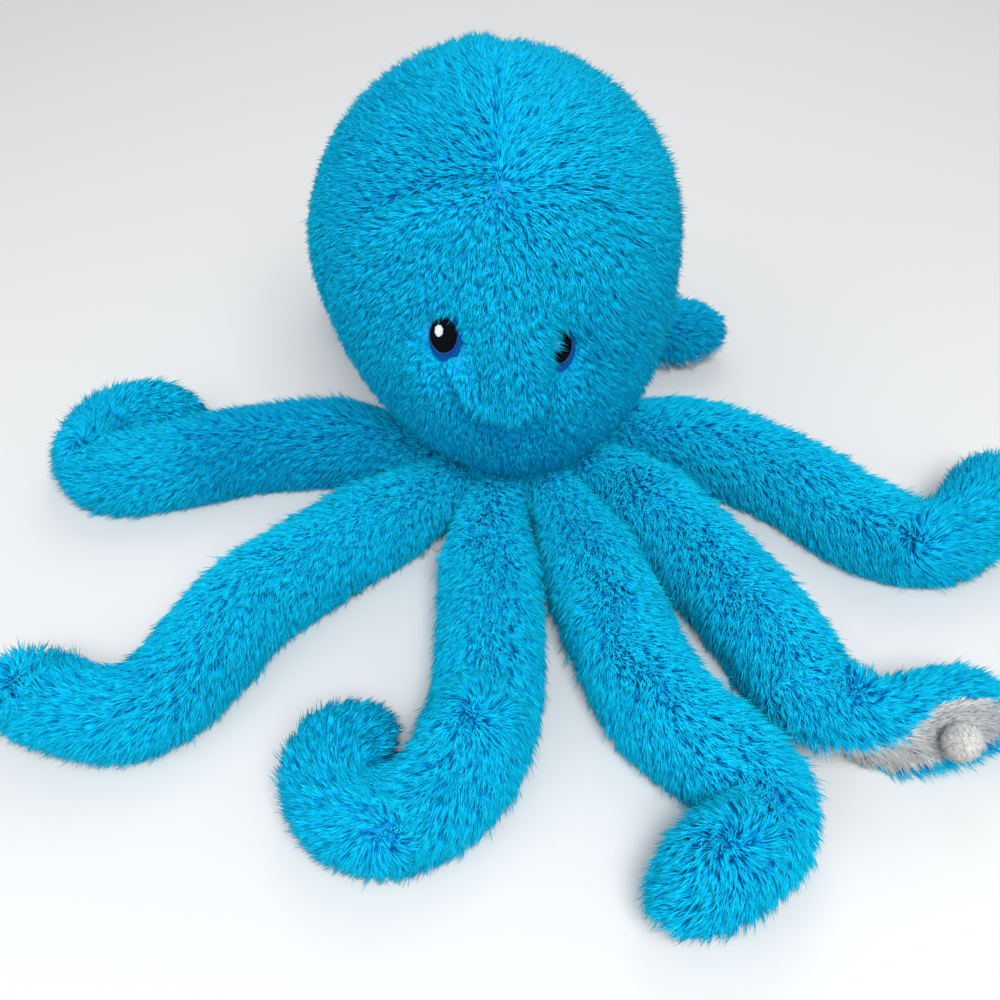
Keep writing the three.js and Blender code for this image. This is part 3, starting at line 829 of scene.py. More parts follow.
def head_skins():
    """The fabric of the three panels, cut along their seams from one fine surface."""
    azimuths = np.arange(0, 360, 2.0)
    elevations = np.concatenate([np.arange(-RIM_ANGLE, 88, 2.0), [88.0, 89.5]])
    a, e = np.meshgrid((azimuths + 270) % 360 - 270, elevations)
    rings = head_point(a.ravel(), e.ravel()).reshape(len(elevations), len(azimuths), 3)
    neck = direction(azimuths, 0) * NECK_RADIUS + UP * NECK_HEIGHT
    rings = np.concatenate([neck[None], (neck[None] + rings[:1]) / 2, rings])
    whole = tube("head_whole", rings, head_backing, (-1,))
    gap = RIGHT * FIT_GAP / 2
    left_normal, right_normal = SEAM_NORMALS
    pieces = {
        "head_panel_left": [[(CROWN - gap, -RIGHT), (CROWN, left_normal)]],
        "head_panel_right": [[(CROWN + gap, RIGHT), (CROWN, right_normal)]],
        "face_panel": [
            [(CROWN, -RIGHT), (CROWN - left_normal * FIT_GAP, -left_normal)],
            [(CROWN, RIGHT), (CROWN - right_normal * FIT_GAP, -right_normal)],
        ],
    }
    for node, halves in pieces.items():
        joined = bmesh.new()
        for cuts in halves:
            bm = bmesh.new()
            bm.from_mesh(whole.data)
            for place, normal in cuts:
                cut(bm, place, normal)
            half = bpy.data.meshes.new("half")
            bm.to_mesh(half)
            bm.free()
            joined.from_mesh(half)
            bpy.data.meshes.remove(half)
        bmesh.ops.remove_doubles(joined, verts=joined.verts, dist=2e-6)
        mesh = bpy.data.meshes.new(node + "_skin")
        joined.to_mesh(mesh)
        joined.free()
        mesh.materials.append(head_backing)
        skin = add_object(node + "_skin", mesh)
        solid = skin.modifiers.new("fabric", "SOLIDIFY")
        solid.thickness = FABRIC * MM
        solid.offset = -1
        mesh.polygons.foreach_set("use_smooth", np.ones(len(mesh.polygons), bool))
        dress(skin, "head", node)
    bpy.data.objects.remove(whole)


def head_fill():
    """The fibre fill in the head, lumpy, and hollow below where the base's bag sits."""
    azimuths = np.arange(0, 360, 6.0)
    elevations = np.concatenate([np.arange(-66, 88, 6.0), [89.0]])
    a, e = np.meshgrid(azimuths, elevations)
    lumps = noise(direction(a, e) * 90, 26, 11).ravel() * 1.4
    outer = head_plain(a.ravel(), e.ravel(), -HEAD_FILL_DEPTH + lumps).reshape(a.shape + (3,))
    hollow = []
    for polar in (8.0, 24.0, 42.0, 60.0):
        ball = BASE_RADIUS + 1.6
        hollow.append(direction(azimuths, 90 - polar) * ball + UP * TILT_HEIGHT)
    fill = capped("head_fibre_fill", np.concatenate([hollow, outer]), fibre)
    dress(fill, "head", "head_stuffing")


CROWN_WAY = direction(*CROWN_SEAM)


def head_flow(azimuth, elevation, place, normal, east, north, rng):
    """Head fur falls away from the crown and down, parts over the seams and spreads out below the eyes."""
    away = direction(azimuth, elevation)
    from_crown = unit(away * (away @ CROWN_WAY)[:, None] - CROWN_WAY)
    aside, behind = seam_distances(place)
    face = 1 - smooth(behind, -6, 6)
    flow = from_crown - north * (0.35 + 0.5 * face)[:, None]
    left_part = ((aside < 0) & (behind > 0))[:, None]
    seam_side = np.where(aside < 0, -1.0, 1.0)
    parting = bell(aside, 16) * (1 - face) * seam_side
    flow = flow + parting[:, None] * np.array([0.45, 0.0, 0.0])
    rise = bell(behind - 10, 12) * (aside < 0) * (behind > 0)
    flow = flow - left_part * rise[:, None] * from_crown * 0.5
    swirl = 0.45 * noise(place, 22, 3) + 0.35 * noise(place, 7, 4) + rng.normal(0, 0.2, len(place))
    for k, eye in enumerate(EYES):
        near, right, up = eye_distance(azimuth, elevation, eye)
        out = unit(east * right[:, None] + north * up[:, None])
        hold = fading(near, 0.9) * smooth(-up, -8, 3)
        inner = (k == 1) * smooth(0.3 * up - right, 4, 7) * smooth(2.6 - near, 0, 0.8)
        hold = hold * (1 - inner)
        flow = flow * (1 - hold[:, None]) + out * 1.6 * hold[:, None] + (east * 1.4) * inner[:, None]
        swirl = swirl * (1 - 0.75 * np.maximum(hold, inner))
    return turned(unit(flow), normal, swirl)


def under_eyes(azimuth, elevation):
    """How far places lie in the sleek fans of fur below the eyes."""
    fan = np.zeros(len(azimuth))
    for eye in EYES:
        near, _, up = eye_distance(azimuth, elevation, eye)
        fan = np.maximum(fan, smooth(-up, 4, 10) * (1 - smooth(near, 1.7, 2.5)))
    return fan


def below_lip(azimuth, elevation):
    """How far places lie on the sleek chin under the muzzle's fold."""
    height, part = mouth_height(azimuth, elevation)
    return part * smooth(-height, -0.5, 2.5) * (1 - smooth(-height, 26, 46))


def over_right_eye(azimuth, elevation):
    """How far places lie where the nose's fur falls over the right eye."""
    near, right, up = eye_distance(azimuth, elevation, EYES[1])
    return smooth(0.3 * up - right, 5.0, 7.0) * (1 - smooth(near, 1.3, 2.0))


def left_dip(place):
    """How far places lie in the dip behind the left seam, where the fur points at whoever looks."""
    aside, behind = seam_distances(place)
    from_crown = span(place - CROWN)
    return (aside < 0) * bell(behind - 14, 14) * bell(from_crown - 44, 36)


def head_length(azimuth, elevation, place):
    length = HEAD_PILE + 1.0 * noise(place, 30, 5) + direction(azimuth, elevation) @ HEAD_PILE_RISE
    aside, behind = seam_distances(place)
    length = length - 1.2 * bell(behind, 4) - 1.2 * bell(aside, 4) * (behind > 0)
    height, part = mouth_height(azimuth, elevation)
    length = length + 1.2 * part * bell(height - 5, 6) - 2.8 * below_lip(azimuth, elevation)
    length = length - 2.6 * under_eyes(azimuth, elevation)
    for eye in EYES:
        near, right, _ = eye_distance(azimuth, elevation, eye)
        length = length - fading(near, 0.3) * (1.6 + 3.6 * smooth(np.abs(right), 2, 6))
    over = over_right_eye(azimuth, elevation)
    return np.maximum(length, LEAST_PILE) * (1 - over) + NOSE_PILE * over


def head_lean(azimuth, elevation, place, rng):
    patch = noise(place, 26, 6)
    dip = left_dip(place)
    lower = HEAD_LEAN[0] + 9 * patch - 24 * dip + rng.normal(0, 5, len(place))
    upper = HEAD_LEAN[1] + 11 * patch - 34 * dip + rng.normal(0, 8, len(place))
    sleek = np.maximum(under_eyes(azimuth, elevation), below_lip(azimuth, elevation))
    for eye in EYES:
        near, _, _ = eye_distance(azimuth, elevation, eye)
        sleek = np.maximum(sleek, fading(near, 0.5))
    sleek = sleek * (1 - 0.6 * over_right_eye(azimuth, elevation))
    return lower + (SLEEK_LEAN[0] - lower) * sleek, upper + (SLEEK_LEAN[1] - upper) * sleek


def head_shade(azimuth, elevation, place):
    aside, behind = seam_distances(place)
    from_crown = span(place - CROWN)
    # Painted light: the ridge along the left seam is lighter, as it catches the light.
    lip = (aside < 0) * bell(behind + 5, 5) * bell(from_crown - 26, 30)
    # Painted shade: the chin under the muzzle's fold is darker.
    shade = 0.10 * noise(place, 24, 8) + 0.25 * lip - 0.25 * below_lip(azimuth, elevation)
    # Painted shade: the dip behind the left seam is darker.
    shade = shade - 0.25 * left_dip(place)
    # Painted sheen: the sleek fans of fur below the eyes are lighter.
    shade = shade + 0.22 * under_eyes(azimuth, elevation)
    # Painted light and shade: the upper right of the head is lighter, as lit from above right, and the
    # lower head darker.
    shade = shade + 0.14 * smooth(aside, -20, 30) * smooth(elevation, -10, 30)
    # Painted shade: a darker patch on the right cheek.
    return shade - 0.12 * smooth(-elevation, 30, 60) - 0.25 * spot(azimuth, elevation, RIGHT_CHEEK, 6, 14)


def off_eyes(azimuth, elevation):
    shown = np.ones(len(azimuth))
    for eye in EYES:
        near, right, up = eye_distance(azimuth, elevation, eye)
        hidden = (eye == EYES[1]) * smooth(0.3 * up - right, 6.5, 9)
        shown = shown * (near > 1.02 - 0.14 * smooth(-up, 0, 5) - 0.4 * hidden)
    return shown * (1 + 2 * over_right_eye(azimuth, elevation))


def head_fur_pieces():
    rng = np.random.default_rng(HEAD_SEED)
    sheet = Sheet(head_point, np.arange(-270, 91, 2.0), np.concatenate([np.arange(-67, 89, 2.0), [89.0]]))
    rules = (head_flow, head_length, head_lean, head_shade)
    long = grow(sheet, HEAD_CLUMPS, HEAD_SPREAD, rng, rules, 0.5, off_eyes)
    short = undercoat(sheet, HEAD_UNDERCOAT_CLUMPS, rng, rules, off_eyes)
    for coat, strands, radii in (("", long, HEAD_RADII), ("_undercoat", short, HEAD_UNDERCOAT_RADII)):
        aside, behind = seam_distances(strands[0])
        groups = {
            "face_fur": behind <= 0,
            "head_fur_left": (behind > 0) & (aside < 0),
            "head_fur_right": (behind > 0) & (aside >= 0),
        }
        for name, chosen in groups.items():
            part = [x[chosen] for x in strands]
            fur_pieces(name + coat, part, radii, head_fur, rng, "head")


# Eyes


def eye_frame(side):
    """The middle of an eye on the head, and its ways across, up and outwards."""
    azimuth, elevation = EYES[0 if side < 0 else 1]
    seat = one_place(azimuth, elevation)
    across = unit(one_place(azimuth + 1, elevation) - seat)
    up = unit(one_place(azimuth, elevation + 1) - seat)
    out = unit(np.cross(across, up))
    up = np.cross(out, across)
    tilt = math.radians(side * EYE_TILT)
    c, s = math.cos(tilt), math.sin(tilt)
    return seat, (across * c + up * s, up * c - across * s, out)


def satin_patch(name, seat, ways, size, base, pitch, material, rng):
    """An oval of satin stitch: threads laid side by side across it, crowned over their middle."""
    across, up, out = ways
    threads = round(size[1] / pitch)
    per_thread = 6
    share = np.linspace(-1, 1, threads * per_thread + 1)
    jitter = np.repeat(rng.uniform(-0.11, 0.11, threads), per_thread)
    jitter = np.append(jitter, jitter[-1])
    half = size[0] / 2 * np.sqrt(np.maximum(1 - share**2, 0.0012)) + jitter
    step = np.linspace(-1, 1, 41)
    x = half[:, None] * step
    y = (share * size[1] / 2)[:, None]
    ridge = np.abs(np.sin(np.pi * (share + 1) / 2 * threads))[:, None] * 0.16
    edge = 1 - np.abs(step) ** 6
    crown = (1 - 0.55 * (np.hypot(share[:, None], step * 0.9) ** 2).clip(0, 1)) * edge
    z = base + EYE_LAYER * (0.35 + 0.65 * crown) + ridge * edge
    flat = seat + x[..., None] * across + y[..., None] * up
    return shell(name, flat + z[..., None] * out, flat + base * out, material)


def thread_loop(name, seat, ways, size, material):
    """A thread laid along the lower part of an oval's edge."""
    across, up, out = ways
    angles = np.radians(np.linspace(*EDGE_ANGLES, 72))
    middle = (
        seat
        + np.outer(np.cos(angles) * size[0] / 2, across)
        + np.outer(np.sin(angles) * size[1] / 2, up)
        + EDGE_RAISE * out
    )
    sideways = np.cross(unit(np.gradient(middle, axis=0)), out)
    turn = np.linspace(0, 2 * math.pi, 8, endpoint=False)
    rings = []
    for k, (place, aside) in enumerate(zip(middle, sideways)):
        thin = EDGE_RADIUS * math.sqrt(max(math.sin(math.pi * (k + 0.5) / len(middle)), 0.1))
        rings.append(place + thin * (np.outer(np.cos(turn), aside) + np.outer(np.sin(turn), out)))
    return capped(name, np.array(rings), material)


def eye_pieces():
    iris_size = (IRIS_SIZE[0], IRIS_SIZE[1] + 1.5)
    rim_size = (PUPIL_SIZE[0] + 0.5, PUPIL_SIZE[1] + 0.5)
    layers = (
        ("iris", iris_size, 0.7, -0.75, iris_thread, 0.5),
        ("pupil", PUPIL_SIZE, 0.0, PUPIL_RAISE, pupil_thread, 0.48),
        ("highlight", HIGHLIGHT_SIZE, -HIGHLIGHT_ASIDE, HIGHLIGHT_RAISE, highlight_thread, 0.44),
    )
    for side, word in ((-1, "left"), (1, "right")):
        rng = np.random.default_rng(EYE_SEED + side)
        seat, ways = eye_frame(side)
        across, up, _ = ways
        for layer, (part, size, aside, rise, material, pitch) in enumerate(layers):
            base = FIT_GAP + layer * (EYE_LAYER + FIT_GAP) * 0.8 - 0.6
            name = f"eye_{word}_{part}"
            place = seat + aside * across + rise * up
            patch = satin_patch(name + "_stitches", place, ways, size, base, pitch, material, rng)
            dress(patch, "head", name)
        rim = thread_loop(f"eye_{word}_edge_thread", seat + PUPIL_RAISE * up, ways, rim_size, edge_thread)
        dress(rim, "head")


# Arms


def arm_section(along):
    """Widths and heights of the arm's section at places along it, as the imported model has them."""
    along = np.asarray(along, float)
    swell = smooth(along, 0, ARM_ROUND_LENGTH)
    end = smooth(along, ARM_LENGTH / 2, ARM_LENGTH - ARM_TIP_LENGTH)
    height = ARM_ROOT_HEIGHT + (ARM_HEIGHT - ARM_ROOT_HEIGHT) * swell
    height = height + (ARM_END_HEIGHT - height) * end
    width = ARM_ROOT_WIDTH + (ARM_WIDTH - ARM_ROOT_WIDTH) * np.clip(along / ARM_SWELL_LENGTH, 0, 1)
    width = width + (ARM_END_WIDTH - width) * end
    radius = ARM_ROOT_HEIGHT / 2
    half = np.sqrt(np.maximum(radius**2 - np.minimum(along, 0) ** 2, 0))
    before = along < 0
    low = np.where(before, radius - half, 0)
    high = np.where(before, radius + half, height)
    width = np.where(before, ARM_ROOT_WIDTH + along * ARM_ROOT_TAPER, width)
    past = np.clip((along - ARM_LENGTH + ARM_TIP_LENGTH) / ARM_TIP_LENGTH, 0, 1)
    left = np.sqrt(np.maximum(1 - past**2, 0))
    middle = low + (high - low) * MIDDLE_SHARE
    low = middle - (middle - low) * left
    high = middle + (high - middle) * left
    return width * left, low, high, middle


class Arm:
    """An arm's middle line and surface. Places are given along it, from its hinge, and in its section."""

    def __init__(self, index, facts):
        self.index = index
        self.facts = facts
        self.name = facts["name"]
        self.root = math.radians(facts["root"])
        share = np.linspace(0, 1, ROUTE_STEPS + 1)
        self.turn = np.radians(np.interp(share, *zip(*facts["turns"])))
        self.roll = np.radians(np.interp(share, *zip(*facts.get("rolls", ((0, 0), (1, 0))))))
        middle = (self.turn[1:] + self.turn[:-1]) / 2
        step = ARM_LENGTH / ROUTE_STEPS
        self.x = HINGE_RADIUS + np.concatenate([[0], np.cumsum(np.cos(middle)) * step])
        self.y = np.concatenate([[0], np.cumsum(np.sin(middle)) * step])
        self.at = share * ARM_LENGTH
        width, low, high, centre = arm_section(self.at)
        angles = np.linspace(-0.8, math.pi + 0.8, 33)
        u = width[:, None] / 2 * np.cos(angles)
        v = np.maximum((high - centre)[:, None] * np.sin(angles), (low - centre)[:, None])
        lowest = (u * np.sin(self.roll)[:, None] + v * np.cos(self.roll)[:, None]).min(1) + centre
        self.lift = low - lowest
        if "rolls" not in facts:
            risen = smooth(self.at, ARM_LENGTH - TIP_RISE_START, ARM_LENGTH - TIP_RISE_END)
            self.lift = (POMPOM_HEIGHT + FIT_GAP) * risen

    def place(self, along, u, v):
        """Places from how far along the arm they are, and where they lie in its section."""
        x = np.interp(along, self.at, self.x) + np.minimum(along, 0)
        tables = (self.y, self.turn, self.roll, self.lift)
        y, turn, roll, lift = (np.interp(along, self.at, table) for table in tables)
        middle = arm_section(along)[3]
        rolled_u = u * np.cos(roll) - (v - middle) * np.sin(roll)
        rolled_v = middle + u * np.sin(roll) + (v - middle) * np.cos(roll)
        x, y = x - np.sin(turn) * rolled_u, y + np.cos(turn) * rolled_u
        c, s = math.cos(self.root), math.sin(self.root)
        return np.stack([x * c - y * s, x * s + y * c, rolled_v + lift], -1)

    def oval(self, along, share, lift=0.0):
        """The fabric over the top, from the underside's left edge at share 0 to its right one at 1."""
        width, low, high, middle = arm_section(along)
        upwards = np.maximum(high - middle, 1e-6)
        under = np.arcsin(np.clip((middle - low) / upwards, 0, 1))
        angle = -under + (math.pi + 2 * under) * share
        if "crease" in self.facts:
            from_crease = along - self.facts["crease"] * ARM_LENGTH
            lift = lift - CREASE_DEPTH * bell(from_crease, CREASE_WIDTH) * np.maximum(np.sin(angle), 0)
        u = (width / 2 + lift) * np.cos(angle)
        v = middle + (upwards + lift) * np.sin(angle)
        return self.place(along, u, v)

    def floor(self, along, share, rise=0.0):
        """The underside, from its left edge at share 0 to its right edge at 1."""
        width, low, high, middle = arm_section(along)
        upwards = np.maximum(high - middle, 1e-6)
        v = low + rise
        half = width / 2 * np.sqrt(np.maximum(1 - np.minimum((middle - v) / upwards, 1) ** 2, 0))
        return self.place(along, half * (1 - 2 * share), v)


def stations(start, end, count):
    """Places along an arm, closer together over its round tip."""
    body = ARM_LENGTH - ARM_TIP_LENGTH
    tip = body + ARM_TIP_LENGTH * np.sin(np.linspace(0, math.pi / 2, 14))[1:]
    return np.concatenate([np.linspace(start, body, count), tip[tip < end]])


def arm_skin(arm):
    """The blue fabric over the arm's top and the pale strip under it, as two closed shells."""
    along = stations(-11.5, ARM_LENGTH - 0.15, 92)
    share = np.linspace(EDGE_SHARE, 1 - EDGE_SHARE, 37)
    a, b = pairs(along, share)
    shape = (len(along), len(share), 3)
    outer = arm.oval(a, b)
    core = arm.place(a, 0 * a, arm_section(a)[3])
    outer = outer + unit(outer - core) * (noise(outer, 17, 9) * 0.7)[:, None]
    outer[:, 2] = np.maximum(outer[:, 2], 0.3)
    inner = arm.oval(a, b, -FABRIC)
    top = shell(f"{arm.name}_top_fabric", outer.reshape(shape), inner.reshape(shape), arm_backing)
    dress(top, None, f"{arm.name}_top")

    along = stations(-11.0, ARM_LENGTH - 1.0, 92)
    share = np.linspace(0, 1, 15)
    a, b = pairs(along, share)
    shape = (len(along), len(share), 3)
    below, above = (arm.floor(a, b, rise).reshape(shape) for rise in (PALE_LOW, PALE_HIGH))
    under = shell(f"{arm.name}_underside_fabric", above, below, pale_backing)
    dress(under, None, f"{arm.name}_underside")
    return [top, under]


def arm_fill(arm):
    """The fibre fill in the arm, lumpy and a little short of the fabric."""
    along = np.linspace(6, ARM_LENGTH - ARM_TIP_LENGTH - 1, 64)
    angle = np.linspace(0, 2 * math.pi, 20, endpoint=False)
    a, t = pairs(along, angle)
    width, low, high, middle = arm_section(a)
    near_end = np.minimum(a - 3, ARM_LENGTH - ARM_TIP_LENGTH + 3 - a)
    close = np.sqrt(np.clip(near_end / 12, 0.05, 1))
    u = (width / 2 - ARM_FILL_DEPTH) * np.cos(t) * close
    reach = np.where(np.sin(t) > 0, high - middle - ARM_FILL_DEPTH, middle - low - 5.5)
    v = middle + reach * np.sin(t) * close
    rings = arm.place(a, u, v)
    core = arm.place(a, 0 * a, middle)
    rings = core + (rings - core) * (1 + 0.07 * noise(rings, 13, 12))[:, None]
    fill = capped(f"{arm.name}_fibre_fill", rings.reshape(len(along), len(angle), 3), fibre)
    dress(fill, arm.name, f"{arm.name}_stuffing")


def near_edge(share):
    return smooth(np.abs(2 * share - 1), 0.68, 0.95)


def arm_rules(arm):
    """Arm fur falls from the crest to both sides and towards the tip, with whorls and curly patches."""
    facts = arm.facts
    seed = ARM_NOISE_SEED + 5 * arm.index
    whorls = arm.oval(*np.array([(along * ARM_LENGTH, share) for along, share in facts["whorls"]]).T)

    def curled(place):
        return facts["curl"] * smooth(noise(place, 24, seed + 4), -0.35, 0.3)

    def flow(along, share, place, normal, forwards, across, rng):
        side = 2 * share - 1
        drift = 1.0 + 0.3 * noise(place, 46, seed)
        spill = 1.15 * side + 0.3 * noise(place, 38, seed + 1)
        way = unit(forwards * drift[:, None] + across * spill[:, None])
        for middle in whorls:
            away = place - middle
            near = bell(span(away), 15)[:, None]
            away = unit(away)
            way = way * (1 - near) + (away + 0.9 * np.cross(normal, away)) * near
        swirl = (0.2 + 0.8 * curled(place)) * noise(place, 15, seed + 2)
        swirl = swirl + 0.2 * noise(place, 7, seed + 3)
        return turned(unit(way), normal, swirl + rng.normal(0, 0.16, len(place)))

    def length(along, share, place):
        base = ARM_PILE + 1.2 * noise(place, 34, 31) + 0.6 * near_edge(share)
        return base * (0.75 + 0.25 * smooth(along, 0, 40))

    def lean(along, share, place, rng):
        patch, tuft, edge = noise(place, 30, seed), curled(place), near_edge(share)
        for middle in whorls:
            tuft = np.maximum(tuft, 0.8 * bell(span(place - middle), 9))
        lower = ARM_LEAN[0] + 6 * patch - 22 * tuft - 8 * edge + rng.normal(0, 5, len(place))
        upper = ARM_LEAN[1] + 6 * patch - 26 * tuft - 12 * edge + rng.normal(0, 6, len(place))
        for middle in whorls:
            upright = bell(span(place - middle), 5)
            lower, upper = lower * (1 - upright), upper * (1 - 0.8 * upright)
        return lower, upper

    def shade(along, share, place):
        # Painted shade: the arm's flanks are darker, and so are the curly patches, between their tufts.
        lighter = 0.1 + 0.12 * noise(place, 28, seed + 10) - 0.2 * near_edge(share) - 0.1 * curled(place)
        # Painted shade: where the facts say, a stretch of the arm is darker.
        start, end = (at * ARM_LENGTH for at in facts.get("shaded", (2, 3)))
        shaded = smooth(along, start - 20, start + 10) * (1 - smooth(along, end - 15, end + 15))
        return lighter - 0.34 * shaded

    return flow, length, lean, shade


def arm_fur_pieces(arm):
    rng = np.random.default_rng(ARM_SEED + arm.index)
    along = stations(-10.5, ARM_LENGTH - 0.1, 160)
    sheet = Sheet(arm.oval, along, np.linspace(EDGE_SHARE, 1 - EDGE_SHARE, 41), -1)
    rules = arm_rules(arm)
    strands = grow(sheet, ARM_CLUMPS, ARM_SPREAD, rng, rules)
    made = fur_pieces(f"{arm.name}_fur", strands, ARM_RADII, arm_fur, rng)
    below = undercoat(sheet, ARM_UNDERCOAT_CLUMPS, rng, rules)
    return made + fur_pieces(f"{arm.name}_undercoat", below, ARM_UNDERCOAT_RADII, arm_fur, rng)


def underside_pile(arm):
    rng = np.random.default_rng(UNDERSIDE_SEED + arm.index)
    along = stations(-6.0, ARM_LENGTH - 1.5, 100)
    sheet = Sheet(lambda a, b: arm.floor(a, b, PALE_LOW), along, np.linspace(0, 1, 13))

    def flow(along, share, place, normal, forwards, across, rng):
        way = forwards * 0.8 + across * (share - 0.5)[:, None] * 2.4
        swirl = 0.7 * noise(place, 9, UNDERSIDE_NOISE_SEED + arm.index) + rng.normal(0, 0.25, len(place))
        return turned(unit(way), normal, swirl)

    start, end, side = arm.facts.get("fringe", (1, 1, 0))

    def rolled(along):
        return smooth(np.abs(np.interp(along, arm.at, arm.roll)), 0.4, 1.2)

    def length(along, share, place):
        part = along / ARM_LENGTH
        fringe = (part > start) * (part < end) * smooth(share if side else 1 - share, 0.75, 0.95)
        return UNDERSIDE_PILE + 0.5 * noise(place, 20, 91) + 2.2 * rolled(along) + FRINGE_PILE * fringe

    def lean(along, share, place, rng):
        flat = 1 - rolled(along)
        return 45 + 32 * flat + rng.normal(0, 4, len(place)), 62 + 24 * flat + rng.normal(0, 4, len(place))

    def shade(along, share, place):
        # Over the rolled tip the pile is lighter at the edges, painted light, and darker in the hollow,
        # painted shade.
        return rolled(along) * (0.5 * near_edge(share) - 0.2)

    strands = grow(sheet, UNDERSIDE_CLUMPS, ARM_SPREAD, rng, (flow, length, lean, shade))
    name = f"{arm.name}_underside_pile"
    return fur_pieces(name, strands, PILE_RADII, pale_fur, rng)


def pompom(arm):
    """A ball of short yarn ends round a core, flattened where it lies under the arm."""
    rng = np.random.default_rng(POMPOM_SEED + arm.index)
    rolls = "rolls" in arm.facts
    height = POMPOM_WIDTH if rolls else POMPOM_HEIGHT
    at = np.array([ARM_LENGTH - (ROLLED_POMPOM_FROM_TIP if rolls else POMPOM_FROM_TIP)])
    low = arm_section(at)[1]
    centre = arm.place(at, 0 * at, low - FIT_GAP - height / 2)[0]
    seat = arm.place(at, 0 * at, low)[0]
    axis = unit(seat - centre)
    side = unit(np.cross(axis, UP if abs(axis[2]) < 0.9 else RIGHT))
    other = np.cross(axis, side)
    flat = height / POMPOM_WIDTH

    def ball(azimuth, elevation, radius=POMPOM_WIDTH / 2 - 2.6):
        d = direction(azimuth, elevation) * radius
        return centre + d[..., :1] * side + d[..., 1:2] * other + d[..., 2:] * axis * flat

    azimuths = np.arange(0, 360, 15.0)
    elevations = np.arange(-80, 81, 10.0)
    a, e = np.meshgrid(azimuths, elevations)
    core = capped(f"{arm.name}_pompom_core", ball(a, e), yarn_core)
    dress(core, arm.name, f"{arm.name}_pompom")
    sheet = Sheet(ball, np.arange(0, 361, 12.0), np.arange(-88, 89, 8.0))

    def flow(azimuth, elevation, place, normal, east, north, rng):
        angle = rng.uniform(0, 2 * math.pi, len(place))[:, None]
        return east * np.cos(angle) + north * np.sin(angle)

    def lean(azimuth, elevation, place, rng):
        return rng.uniform(0, 16, len(place)), rng.uniform(6, 34, len(place))

    rules = (flow, steady(YARN_LENGTH), lean, steady(0))
    strands = grow(sheet, POMPOM_CLUMPS, YARN_SPREAD, rng, rules, 0.35)
    fur_pieces(f"{arm.name}_pompom_yarn", strands, YARN_RADII, white_yarn, rng, arm.name)


def arm_pieces():
    for index, facts in enumerate(ARMS):
        arm = Arm(index, facts)
        for piece in arm_skin(arm) + arm_fur_pieces(arm) + underside_pile(arm):
            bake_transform(piece)
        arm_fill(arm)
        pompom(arm)


# Base


def base_pieces():
    azimuths = np.arange(0, 360, 7.5)
    polar = np.concatenate([[6.0], np.arange(15, 106, 10.0)])
    a, p = np.meshgrid(azimuths, polar)
    ball = direction(a, 90 - p) * BASE_RADIUS
    ball = ball * (1 - 0.03 * (1 + noise(ball, 12, 14)))[..., None] + UP * TILT_HEIGHT
    ball[..., 2] = np.maximum(ball[..., 2], UNDERSIDE_THICKNESS + 0.6)
    bag = capped("base_fibre_fill", ball, fibre)
    dress(bag, "base", "base_stuffing")

    rim = [(DISC_RADIUS - 0.8, 1.1), (DISC_RADIUS, 1.9), (DISC_RADIUS - 0.8, 2.7)]
    steps = [(radius, PALE_LOW) for radius in (6, 20, 34)] + rim
    steps += [(radius, DISC_HIGH) for radius in (34, 20, 6)]
    rings = [direction(azimuths, 0) * radius + UP * height for radius, height in steps]
    disc = capped("underside_disc_fabric", np.array(rings), pale_backing)
    dress(disc, "base", "underside_disc")

    rng = np.random.default_rng(DISC_SEED)

    def under(azimuth, radius):
        return direction(azimuth, 0) * radius[..., None] + UP * PALE_LOW

    def flow(azimuth, radius, place, normal, around, outwards, rng):
        way = outwards + around * (0.6 * noise(place, 14, 15))[:, None]
        return turned(unit(way), normal, rng.normal(0, 0.3, len(place)))

    sheet = Sheet(under, np.arange(0, 361, 10.0), np.linspace(1, DISC_RADIUS, 12))
    rules = (flow, steady(DISC_PILE), leaning(76, 4, 85, 3), steady(0))
    strands = grow(sheet, DISC_CLUMPS, DISC_SPREAD, rng, rules)
    fur_pieces("underside_disc_pile", strands, PILE_RADII, pale_fur, rng, "base")


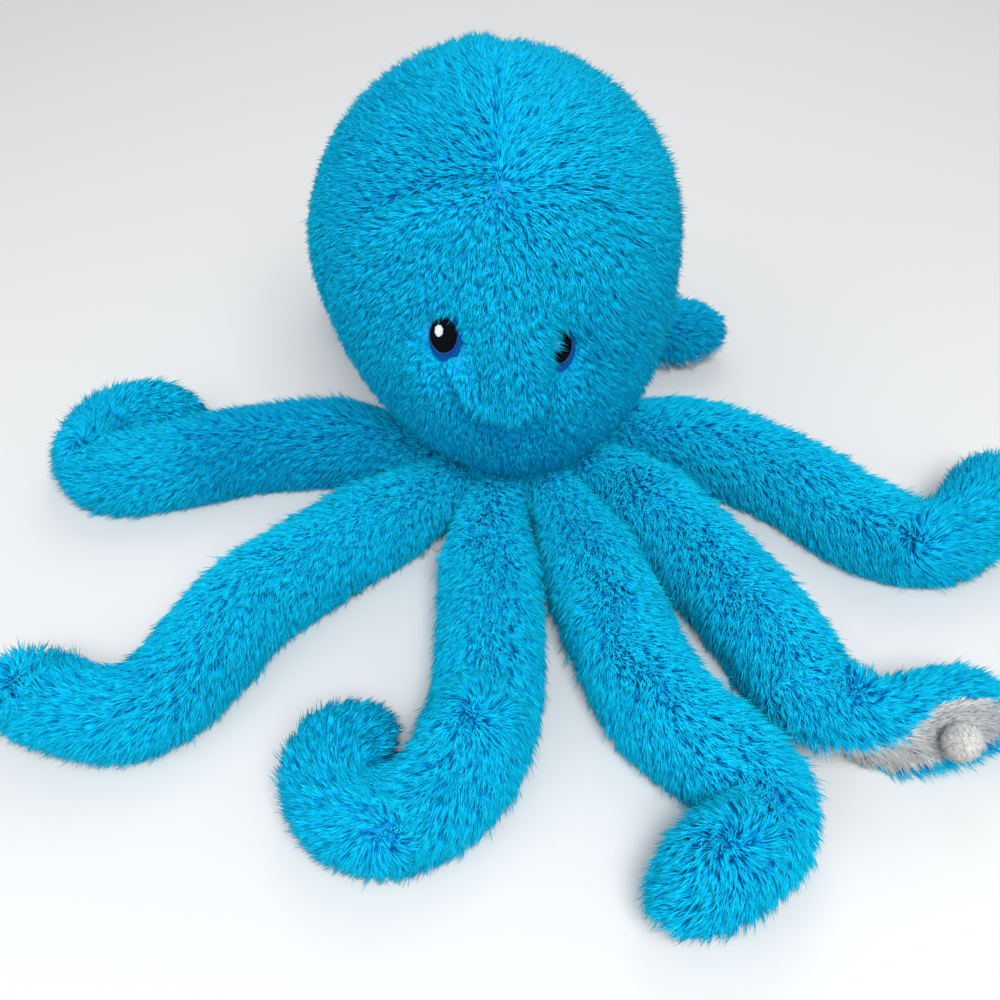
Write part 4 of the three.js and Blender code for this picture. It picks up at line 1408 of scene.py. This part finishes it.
def base_skirt():
    """Blue cloth and fur round the base, which show between the chin and the arms' roots."""
    rng = np.random.default_rng(SKIRT_SEED)

    def point(azimuth, polar, lift=0.8):
        return direction(azimuth, 90 - polar) * (BASE_RADIUS + lift) + UP * TILT_HEIGHT

    def flow(azimuth, polar, place, normal, east, down, rng):
        return turned(down, normal, 0.3 * noise(place, 10, 16) + rng.normal(0, 0.4, len(place)))

    def length(azimuth, polar, place):
        return SKIRT_PILE + 1.5 * noise(place, 18, 17)

    azimuths = np.arange(0, 360, 7.5)
    steps = [(polar, 0.8) for polar in (30, 50, 70, 90, 98)] + [(polar, 0.2) for polar in (98, 90, 30)]
    rings = [point(azimuths, polar, lift) for polar, lift in steps]
    # The cover takes the arms' backing colour, with its painted shade.
    dress(capped("base_cover", np.array(rings), arm_backing), "base")
    sheet = Sheet(point, np.arange(0, 361, 6.0), np.arange(36, 97, 5.0), -1)
    rules = (flow, length, leaning(42, 5, 66, 6), steady(0))
    strands = grow(sheet, SKIRT_CLUMPS, ARM_SPREAD, rng, rules)
    fur_pieces("base_skirt_fur", strands, ARM_RADII, arm_fur, rng, "base")


# Stage


def stage():
    """A pale floor, soft light and the photograph's camera."""
    bpy.ops.mesh.primitive_plane_add(size=8.0, location=(0, 0, -0.0002))
    floor = bpy.context.object
    floor.name = "floor"
    made, shader = new_material("floor", 0.9, 0.1)
    feed(shader, {"Base Color": (0.80, 0.80, 0.79, 1)})
    floor.data.materials.append(made)

    world = bpy.data.worlds.new("world")
    world.use_nodes = True
    sky = {"Color": (0.92, 0.95, 1.0, 1), "Strength": SKY_STRENGTH}
    feed(world.node_tree.nodes["Background"], sky)
    bpy.context.scene.world = world

    for name, place, size, watts in LAMPS:
        light = bpy.data.lights.new(name, "AREA")
        light.size = size
        light.energy = watts
        lamp = add_object(name, light)
        lamp.location = place
        lamp.rotation_euler = (Vector((0, 0, 0.08)) - Vector(place)).to_track_quat("-Z", "Y").to_euler()

    camera = bpy.data.cameras.new("camera")
    camera.lens = CAMERA_LENS
    camera.sensor_width = 36.0
    camera.clip_start = 0.01
    eye = add_object("camera", camera)
    eye.location = CAMERA_PLACE
    eye.rotation_euler = (math.radians(CAMERA_PITCH), 0, 0)
    bpy.context.scene.camera = eye
    bpy.context.scene.view_settings.view_transform = "Standard"


base_pieces()
base_skirt()
head_skins()
head_fill()
head_fur_pieces()
eye_pieces()
arm_pieces()
stage()
